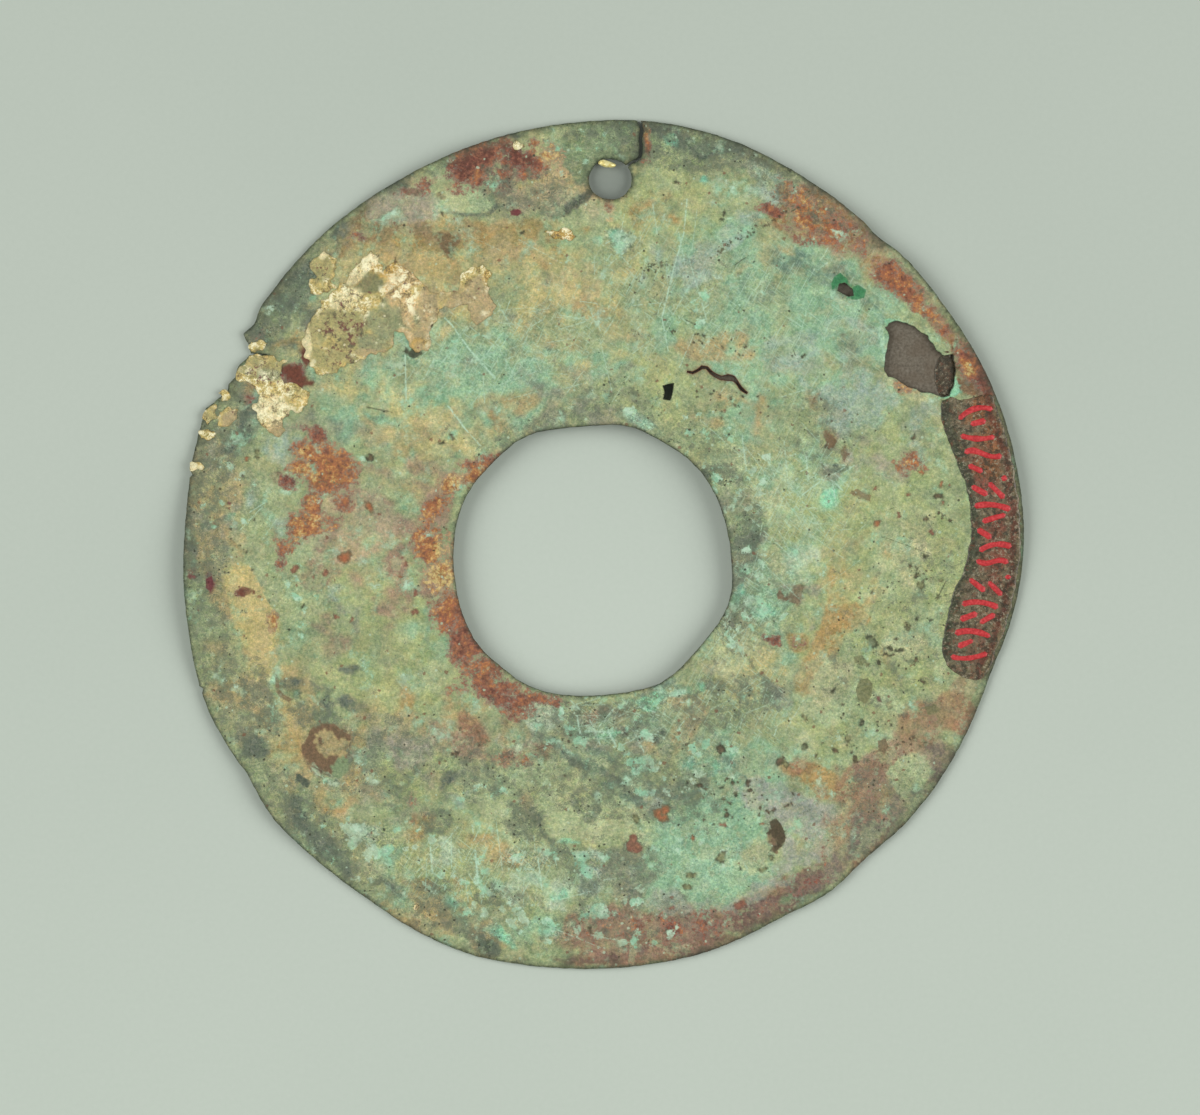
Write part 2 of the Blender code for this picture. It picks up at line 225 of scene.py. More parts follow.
# Tones of the front, painted in this order. The number after the colour is how soft the edges are. Each
# patch is across, down, half length, half width, cover, and its turn anticlockwise if it has one.
TONES = (
    # Broad grounds
    ("lime", 0.8, (
        (385, 650, 95, 75, 0.75), (880, 560, 95, 125, 0.85), (845, 715, 60, 70, 0.7),
        (640, 345, 95, 36, 0.6), (655, 200, 60, 60, 0.75), (530, 270, 50, 26, 0.5),
        (690, 420, 80, 40, 0.5, -20))),
    ("mint", 0.8, (
        (800, 320, 125, 85, 0.85, -25), (425, 390, 120, 55, 0.85, 5), (705, 850, 75, 60, 0.9),
        (500, 900, 90, 36, 0.35, -8), (725, 770, 60, 45, 0.6), (560, 355, 80, 45, 0.45),
        (790, 480, 60, 60, 0.4), (770, 600, 40, 70, 0.4), (400, 480, 60, 40, 0.35), (860, 800, 50, 50, 0.2))),
    ("tan", 0.7, (
        (440, 262, 100, 38, 0.85, 4), (545, 285, 40, 24, 0.25), (575, 330, 34, 20, 0.45),
        (425, 425, 24, 18, 0.4), (640, 205, 50, 40, 0.25), (278, 715, 40, 85, 0.7, 28),
        (218, 520, 34, 110, 0.6, 4), (225, 640, 30, 60, 0.6, -15), (440, 925, 70, 22, 0.6, -22),
        (480, 725, 70, 40, 0.35), (370, 760, 70, 60, 0.3), (340, 810, 50, 50, 0.3),
        (665, 725, 70, 30, 0.35, 10), (500, 420, 60, 30, 0.3), (410, 445, 16, 11, 0.6, 10))),
    ("ash", 0.7, (
        (215, 500, 40, 100, 0.3), (600, 735, 80, 26, 0.4), (480, 775, 60, 20, 0.2), (745, 545, 26, 65, 0.6),
        (395, 765, 60, 50, 0.4), (335, 620, 34, 26, 0.4), (570, 415, 90, 30, 0.3), (640, 865, 40, 40, 0.4),
        (320, 440, 60, 30, 0.3), (700, 700, 60, 40, 0.3), (560, 340, 100, 50, 0.25))),
    ("rose", 0.8, (
        (350, 555, 70, 32, 0.6, -8), (395, 560, 30, 60, 0.45), (425, 730, 40, 14, 0.35),
        (480, 738, 46, 20, 0.45), (885, 790, 40, 66, 0.75, -40), (600, 725, 60, 20, 0.3),
        (830, 405, 30, 50, 0.3), (835, 225, 50, 30, 0.5, -35), (395, 205, 40, 18, 0.35, 30),
        (375, 520, 30, 26, 0.5), (330, 625, 24, 26, 0.35), (372, 480, 26, 18, 0.35),
        (440, 545, 26, 110, 0.55, 8))),
    # Upper left, around the gold
    ("slate", 0.45, (
        (285, 285, 36, 26, 0.9, 48), (262, 325, 22, 18, 0.7, 40), (300, 320, 26, 30, 0.7),
        (330, 245, 34, 14, 0.7, 48), (250, 412, 18, 30, 0.7), (218, 440, 30, 18, 0.6, 60),
        (375, 212, 40, 9, 0.5, 34), (420, 178, 50, 6, 0.6, 25), (480, 146, 40, 5, 0.6, 14))),
    ("ochre", 0.5, (
        (505, 235, 38, 14, 0.7), (420, 262, 60, 16, 0.6, -6), (370, 240, 40, 12, 0.6, 20),
        (552, 288, 40, 18, 0.4, -25), (590, 308, 24, 10, 0.4, -20), (540, 262, 30, 10, 0.35, 25),
        (290, 345, 24, 14, 0.35, 30), (655, 205, 26, 30, 0.35), (475, 425, 40, 14, 0.3, 20))),
    ("bark", 0.4, (
        (448, 244, 13, 15, 0.9), (400, 228, 70, 5, 0.6, 2), (425, 226, 34, 12, 0.6),
        (378, 226, 16, 12, 0.6, 20), (480, 228, 26, 8, 0.5), (352, 238, 14, 10, 0.7),
        (565, 207, 26, 5, 0.9, 32), (505, 222, 40, 6, 0.5, -4), (240, 395, 26, 12, 0.4, 20))),
    ("pale", 0.22, ((466, 201, 30, 13, 1.0, 3), (440, 212, 30, 9, 0.8, 8), (380, 206, 14, 8, 0.5, 30))),
    ("moss", 0.25, (
        (592, 152, 30, 26, 1.0), (620, 150, 20, 24, 0.95), (568, 168, 10, 18, 0.8),
        (600, 138, 40, 12, 0.9, 5))),
    ("slate", 0.4, (
        (600, 130, 45, 6, 0.7, 4), (700, 142, 50, 8, 0.85, -12), (760, 168, 40, 5, 0.7, -28),
        (664, 132, 20, 7, 0.6, -4), (566, 206, 26, 4, 0.95, 34))),
    ("peach", 0.5, (
        (553, 170, 18, 10, 0.8, -25), (598, 205, 14, 13, 0.8), (530, 180, 20, 8, 0.5),
        (520, 190, 34, 14, 0.4), (612, 208, 6, 9, 0.5))),
    ("ash", 0.5, ((520, 196, 36, 13, 0.7, 4), (500, 188, 20, 10, 0.5))),
    ("turquoise", 0.5, (
        (621, 241, 12, 9, 0.6), (596, 243, 6, 4, 0.5), (674, 141, 8, 6, 0.8), (704, 178, 5, 5, 0.8),
        (597, 147, 5, 4, 0.5), (612, 146, 3, 5, 0.6), (655, 238, 12, 10, 0.4), (315, 303, 4, 5, 0.8),
        (308, 403, 4, 5, 0.7))),
    # Upper right
    ("frost", 0.5, (
        (770, 196, 30, 16, 0.9, 15), (762, 178, 34, 12, 0.7, -20), (720, 240, 50, 12, 0.7, 38),
        (690, 275, 20, 40, 0.5, -20), (850, 405, 45, 32, 0.8), (800, 360, 36, 24, 0.5, -30),
        (830, 340, 50, 20, 0.4), (920, 430, 24, 30, 0.5), (648, 290, 14, 50, 0.3))),
    ("teal", 0.6, (
        (800, 265, 60, 14, 0.5, -15), (860, 300, 40, 22, 0.45, -40), (750, 290, 40, 16, 0.3),
        (845, 350, 18, 20, 0.4), (480, 300, 24, 12, 0.4), (395, 350, 22, 12, 0.5), (440, 320, 24, 20, 0.3),
        (500, 340, 30, 20, 0.3), (690, 285, 26, 8, 0.35, -30))),
    ("tan", 0.4, (
        (790, 246, 40, 10, 0.5, -30), (715, 345, 60, 16, 0.45, -12), (730, 410, 40, 26, 0.4),
        (905, 383, 14, 8, 0.8), (870, 262, 16, 8, 0.4, -50), (930, 300, 20, 8, 0.5, -50))),
    ("bark", 0.5, (
        (809, 405, 7, 26, 0.6, 8), (828, 436, 6, 10, 0.7), (836, 462, 8, 12, 0.5),
        (676, 322, 10, 5, 0.3, 20), (813, 425, 10, 7, 0.4))),
    ("emerald", 0.25, ((839, 281, 8, 7, 1.0, 20), (856, 292, 9, 6, 1.0, -20), (689, 301, 5, 4, 0.5))),
    # Right
    ("ash", 0.5, (
        (755, 538, 14, 14, 0.8), (735, 505, 14, 26, 0.6), (830, 470, 12, 10, 0.5), (856, 447, 10, 8, 0.5),
        (800, 590, 24, 10, 0.6, 10), (812, 635, 14, 12, 0.5), (735, 610, 16, 26, 0.5),
        (778, 692, 14, 18, 0.7), (917, 437, 8, 7, 0.6))),
    ("turquoise", 0.6, (
        (752, 606, 20, 12, 0.6, -30), (733, 436, 12, 18, 0.4), (748, 580, 14, 14, 0.35),
        (835, 505, 12, 8, 0.35), (724, 671, 10, 8, 0.7))),
    ("pale", 0.5, (
        (785, 562, 16, 14, 0.7), (800, 500, 30, 34, 0.5), (900, 600, 40, 50, 0.5), (880, 480, 40, 26, 0.5),
        (830, 700, 40, 26, 0.7), (880, 720, 26, 30, 0.5), (940, 640, 12, 40, 0.5), (770, 500, 20, 20, 0.4))),
    ("cream", 0.5, (
        (900, 560, 30, 40, 0.6), (860, 620, 30, 20, 0.3), (900, 520, 40, 16, 0.5), (935, 455, 10, 30, 0.7),
        (820, 745, 26, 12, 0.6), (960, 600, 6, 26, 0.6, 15), (925, 690, 20, 20, 0.3),
        (745, 850, 26, 16, 0.4))),
    ("ochre", 0.45, (
        (845, 622, 22, 12, 0.95, 25), (826, 648, 14, 26, 0.95, -25), (808, 675, 12, 24, 0.85, -22),
        (830, 575, 6, 30, 0.5), (800, 770, 24, 8, 0.85, -18), (822, 785, 16, 12, 0.8, -30),
        (795, 640, 14, 10, 0.5), (862, 618, 12, 8, 0.5), (885, 680, 10, 30, 0.3))),
    # Lower right
    ("lilac", 0.5, (
        (760, 793, 22, 16, 0.9), (800, 815, 36, 22, 0.8, -10), (812, 845, 26, 16, 0.7, 10),
        (650, 808, 18, 10, 0.7), (790, 862, 26, 8, 0.5, 15), (745, 905, 34, 10, 0.5, 15))),
    ("mint", 0.45, (
        (700, 840, 44, 26, 0.9), (735, 870, 36, 22, 0.8, 10), (690, 890, 34, 20, 0.8),
        (755, 845, 20, 20, 0.6), (650, 900, 14, 14, 0.4))),
    ("teal", 0.5, (
        (700, 745, 40, 16, 0.5, 10), (610, 770, 46, 9, 0.5, -32), (560, 748, 22, 7, 0.4, -20),
        (730, 765, 30, 20, 0.5), (690, 790, 40, 8, 0.6, 8), (645, 790, 20, 6, 0.3),
        (672, 772, 40, 12, 0.45), (655, 688, 16, 5, 0.7, 22))),
    ("clay", 0.4, (
        (860, 805, 30, 44, 0.5, -40), (890, 770, 18, 36, 0.3, -38), (925, 728, 30, 22, 0.4, -50),
        (960, 715, 24, 20, 0.5, -50), (620, 932, 66, 24, 1.0, 4), (690, 928, 46, 22, 0.95, 14),
        (585, 922, 26, 14, 0.7, 10), (760, 908, 56, 14, 0.95, 22), (802, 882, 28, 14, 0.9, 24),
        (650, 955, 90, 12, 0.85, 5), (880, 850, 40, 14, 0.8, 42))),
    ("plum", 0.5, (
        (765, 912, 52, 12, 0.9, 22), (812, 882, 26, 12, 0.85, 26), (640, 957, 80, 8, 0.7, 4),
        (700, 940, 40, 9, 0.5, 14), (920, 775, 24, 10, 0.35, 50))),
    # Bottom and lower left
    ("lime", 0.35, (
        (560, 790, 30, 36, 0.95), (603, 832, 24, 13, 0.95, -12), (545, 770, 16, 16, 0.7),
        (490, 835, 26, 16, 0.6, -10), (410, 690, 40, 30, 0.5), (430, 872, 60, 30, 0.8, -24),
        (500, 890, 60, 26, 0.5, -8), (520, 775, 60, 26, 0.5), (425, 775, 50, 26, 0.6))),
    ("ochre", 0.5, (
        (492, 842, 22, 9, 0.3, -20), (440, 892, 22, 14, 0.4, 30), (505, 858, 20, 8, 0.4),
        (286, 748, 22, 18, 0.6, -50), (356, 755, 5, 28, 0.5), (330, 800, 22, 14, 0.2),
        (250, 800, 16, 8, 0.4, -50), (378, 868, 26, 14, 0.5, -40), (425, 830, 26, 14, 0.45),
        (425, 890, 40, 12, 0.4, -28), (400, 700, 14, 12, 0.4), (620, 925, 40, 8, 0.3))),
    ("slate", 0.45, (
        (470, 772, 34, 10, 0.45, 8), (446, 790, 10, 14, 0.35), (530, 818, 10, 20, 0.45, 20),
        (505, 800, 16, 10, 0.3), (322, 845, 46, 13, 0.85, -46), (300, 812, 20, 12, 0.6, -50),
        (248, 746, 16, 13, 0.5), (288, 692, 12, 12, 0.6), (350, 666, 11, 7, 0.5), (405, 745, 30, 16, 0.35),
        (385, 800, 26, 14, 0.2), (380, 880, 30, 8, 0.6, -35), (450, 932, 50, 7, 0.5, -24),
        (220, 640, 12, 30, 0.25), (195, 560, 4, 60, 0.4), (330, 700, 40, 14, 0.35, -20),
        (590, 715, 30, 10, 0.3), (640, 735, 26, 12, 0.35), (325, 700, 30, 16, 0.4))),
    ("clay", 0.5, (
        (418, 818, 14, 12, 0.5), (520, 752, 40, 12, 0.35, -6), (500, 725, 26, 12, 0.35),
        (528, 795, 10, 22, 0.25, 14), (330, 690, 12, 12, 0.25))),
    ("frost", 0.45, (
        (541, 719, 17, 14, 0.9), (500, 738, 14, 12, 0.5), (288, 450, 26, 16, 0.55), (262, 500, 22, 18, 0.2),
        (285, 520, 12, 14, 0.3), (500, 700, 20, 8, 0.3), (470, 795, 22, 14, 0.5), (590, 880, 16, 16, 0.5),
        (345, 590, 20, 10, 0.3))),
    ("foam", 0.5, (
        (600, 912, 18, 8, 0.4), (371, 840, 24, 14, 0.35, -20), (333, 779, 12, 4, 0.6, -20),
        (636, 770, 8, 7, 0.5), (655, 795, 22, 4, 0.5), (650, 701, 30, 6, 0.4, 14),
        (640, 418, 22, 7, 0.5, -8), (268, 682, 6, 8, 0.6), (256, 655, 5, 5, 0.5), (275, 660, 4, 5, 0.6))),
    ("turquoise", 0.5, (
        (630, 703, 12, 5, 0.5, 10), (664, 694, 14, 5, 0.5, 15), (706, 760, 30, 22, 0.25),
        (690, 690, 16, 6, 0.4, 20), (500, 940, 22, 6, 0.4, -12), (440, 905, 20, 6, 0.4, -30),
        (235, 520, 10, 8, 0.4), (210, 475, 8, 12, 0.3))),
    # Left
    ("tan", 0.18, (
        (235, 578, 13, 16, 1.0, 20), (245, 600, 18, 26, 1.0, 14), (260, 625, 18, 26, 1.0, 14),
        (262, 645, 14, 12, 1.0), (258, 665, 14, 18, 0.85, -10), (272, 640, 8, 12, 0.8))),
    ("sand", 0.5, ((236, 580, 8, 12, 0.5), (262, 672, 9, 12, 0.4))),
    ("moss", 0.5, ((245, 605, 12, 8, 0.5), (300, 625, 26, 16, 0.4), (350, 680, 30, 12, 0.3))),
    ("maroon", 0.3, ((210, 583, 6, 9, 0.95, 10), (192, 574, 5, 3, 0.8), (516, 212, 5, 3, 0.9, 10))),
    ("brown", 0.28, (
        (326, 748, 25, 27, 0.95), (778, 833, 10, 13, 0.9, 10), (245, 592, 8, 4, 0.8, 30),
        (290, 379, 14, 11, 0.9, -25), (304, 355, 5, 10, 0.6), (275, 475, 12, 6, 0.6))),
    ("tan", 0.4, ((331, 746, 15, 11, 1.0, 10), (345, 740, 8, 6, 0.7), (322, 757, 9, 6, 0.7))),
    ("moss", 0.4, ((341, 765, 12, 8, 0.8), (626, 172, 18, 12, 0.5))),
    ("tan", 0.8, (
        (450, 270, 130, 60, 0.35), (400, 440, 60, 40, 0.35), (480, 470, 30, 24, 0.4),
        (575, 330, 60, 50, 0.3), (436, 328, 18, 14, 0.5))),
    ("bark", 0.6, ((410, 228, 60, 14, 0.45), (375, 236, 20, 12, 0.4, 30))),
    ("mauve", 0.5, ((848, 852, 44, 12, 0.6, 44), (900, 800, 30, 10, 0.5, 50))),
    ("pale", 0.6, ((540, 778, 50, 24, 0.5), (628, 810, 36, 30, 0.6), (580, 722, 34, 12, 0.5))),
    ("straw", 0.9, (
        (440, 280, 110, 34, 0.44), (410, 430, 80, 60, 0.42), (575, 300, 80, 60, 0.42),
        (490, 180, 90, 30, 0.42, 20), (480, 480, 24, 30, 0.4), (340, 350, 60, 40, 0.42),
        (840, 225, 30, 24, 0.3))),
    ("dun", 0.7, ((350, 510, 50, 40, 0.45), (560, 185, 30, 16, 0.3), (575, 282, 40, 20, 0.25))),
    ("sage", 0.7, (
        (500, 285, 40, 24, 0.5), (460, 325, 26, 14, 0.4), (680, 225, 36, 30, 0.5), (675, 320, 40, 20, 0.4))),
    ("dust", 0.5, (
        (400, 236, 62, 13, 0.75), (500, 234, 42, 14, 0.7), (365, 240, 22, 9, 0.6, 30),
        (450, 250, 60, 8, 0.4))),
    ("honey", 0.6, (
        (420, 262, 60, 12, 0.5), (470, 476, 20, 18, 0.6), (490, 838, 44, 22, 0.42, -15),
        (440, 905, 34, 20, 0.45, -25), (865, 570, 46, 34, 0.45), (355, 762, 7, 26, 0.7),
        (282, 728, 20, 30, 0.5, 30))),
    ("heath", 0.6, ((930, 732, 36, 16, 0.8, 42), (866, 788, 24, 40, 0.75, -40), (850, 825, 24, 24, 0.5))),
    ("thistle", 0.6, ((875, 462, 34, 28, 0.6), (405, 750, 26, 24, 0.5), (800, 622, 20, 14, 0.3))),
    ("mint", 0.8, (
        (675, 325, 44, 28, 0.35), (675, 228, 36, 30, 0.3), (750, 425, 50, 22, 0.35),
        (400, 872, 54, 26, 0.35, -35), (620, 728, 60, 16, 0.3), (400, 328, 50, 16, 0.35))),
    ("milk", 0.5, (
        (800, 560, 16, 18, 0.6), (632, 771, 11, 9, 0.8), (520, 890, 24, 20, 0.35), (545, 718, 18, 15, 0.7),
        (514, 745, 11, 8, 0.6), (571, 931, 12, 10, 0.6), (445, 852, 14, 16, 0.4), (560, 895, 20, 16, 0.4))),
    ("jade", 0.4, (
        (652, 704, 14, 12, 0.65, 20), (606, 735, 10, 5, 0.4), (551, 926, 10, 10, 0.6),
        (504, 940, 18, 4, 0.7, -30), (556, 892, 10, 8, 0.4), (832, 493, 14, 8, 0.4, 30),
        (758, 612, 12, 16, 0.4), (455, 905, 14, 5, 0.4, -30))),
    ("tarn", 0.5, (
        (723, 477, 18, 5, 0.6, -8), (756, 535, 10, 16, 0.4, -20), (249, 744, 10, 11, 0.5),
        (294, 695, 7, 5, 0.7, -20), (429, 888, 18, 8, 0.3, -20), (486, 953, 15, 6, 0.5, -15),
        (742, 497, 10, 7, 0.3))),
    ("moss", 0.6, (
        (822, 872, 50, 12, 0.4, 42), (600, 945, 60, 10, 0.4, 4), (425, 830, 24, 20, 0.4),
        (725, 178, 24, 16, 0.45, -30))),
    ("ochre", 0.7, ((450, 232, 60, 18, 0.55), (385, 270, 30, 20, 0.4), (545, 228, 40, 16, 0.35))),
    ("bark", 0.6, ((374, 230, 26, 14, 0.7, 20), (440, 226, 66, 16, 0.62))),
    ("apricot", 0.6, ((524, 174, 26, 14, 0.5), (612, 214, 10, 14, 0.4))),
    ("straw", 0.8, (
        (545, 275, 60, 26, 0.42), (620, 180, 30, 20, 0.4), (225, 475, 18, 22, 0.45),
        (750, 675, 40, 24, 0.4))),
    ("sage", 0.8, ((600, 325, 60, 24, 0.45), (900, 525, 44, 20, 0.4), (780, 235, 22, 14, 0.4))),
    ("leek", 0.7, (
        (575, 775, 28, 22, 0.75), (525, 825, 28, 24, 0.7), (630, 825, 34, 26, 0.75),
        (475, 775, 26, 18, 0.5), (376, 872, 26, 16, 0.6, -40), (275, 770, 20, 20, 0.4, -45),
        (730, 478, 26, 24, 0.55))),
    ("cream", 0.7, ((825, 675, 28, 26, 0.8), (738, 650, 22, 40, 0.4), (900, 628, 40, 28, 0.42))),
    ("mint", 0.7, ((475, 925, 26, 12, 0.5, -20), (425, 645, 22, 36, 0.42), (680, 828, 28, 22, 0.6))),
    ("clay", 0.7, ((480, 727, 26, 16, 0.5), (815, 776, 30, 22, 0.38, -20))),
    ("terracotta", 0.7, ((625, 925, 46, 16, 0.7, 4), (875, 780, 24, 24, 0.5, -40))),
    ("mauve", 0.6, (
        (872, 830, 26, 24, 0.75, -45), (830, 874, 28, 12, 0.6, 40), (935, 768, 26, 16, 0.75, 50),
        (690, 926, 60, 12, 0.4, 8))),
    ("honey", 0.8, ((425, 228, 36, 24, 0.42), (378, 272, 24, 22, 0.42), (530, 178, 24, 18, 0.45))),
    ("bark", 0.7, ((375, 220, 32, 18, 0.5, 30), (878, 272, 24, 14, 0.45, -45))),
    ("leek", 0.8, (
        (475, 922, 28, 16, 0.5, -20), (625, 826, 26, 20, 0.5), (575, 776, 26, 20, 0.45),
        (525, 826, 26, 20, 0.42), (775, 178, 24, 16, 0.42, -20), (425, 678, 22, 22, 0.45))),
    ("cream", 0.8, ((825, 675, 28, 26, 0.5), (225, 478, 16, 20, 0.42))),
    ("heath", 0.8, ((874, 824, 24, 20, 0.55, -45), (625, 926, 44, 16, 0.45, 4))),
)

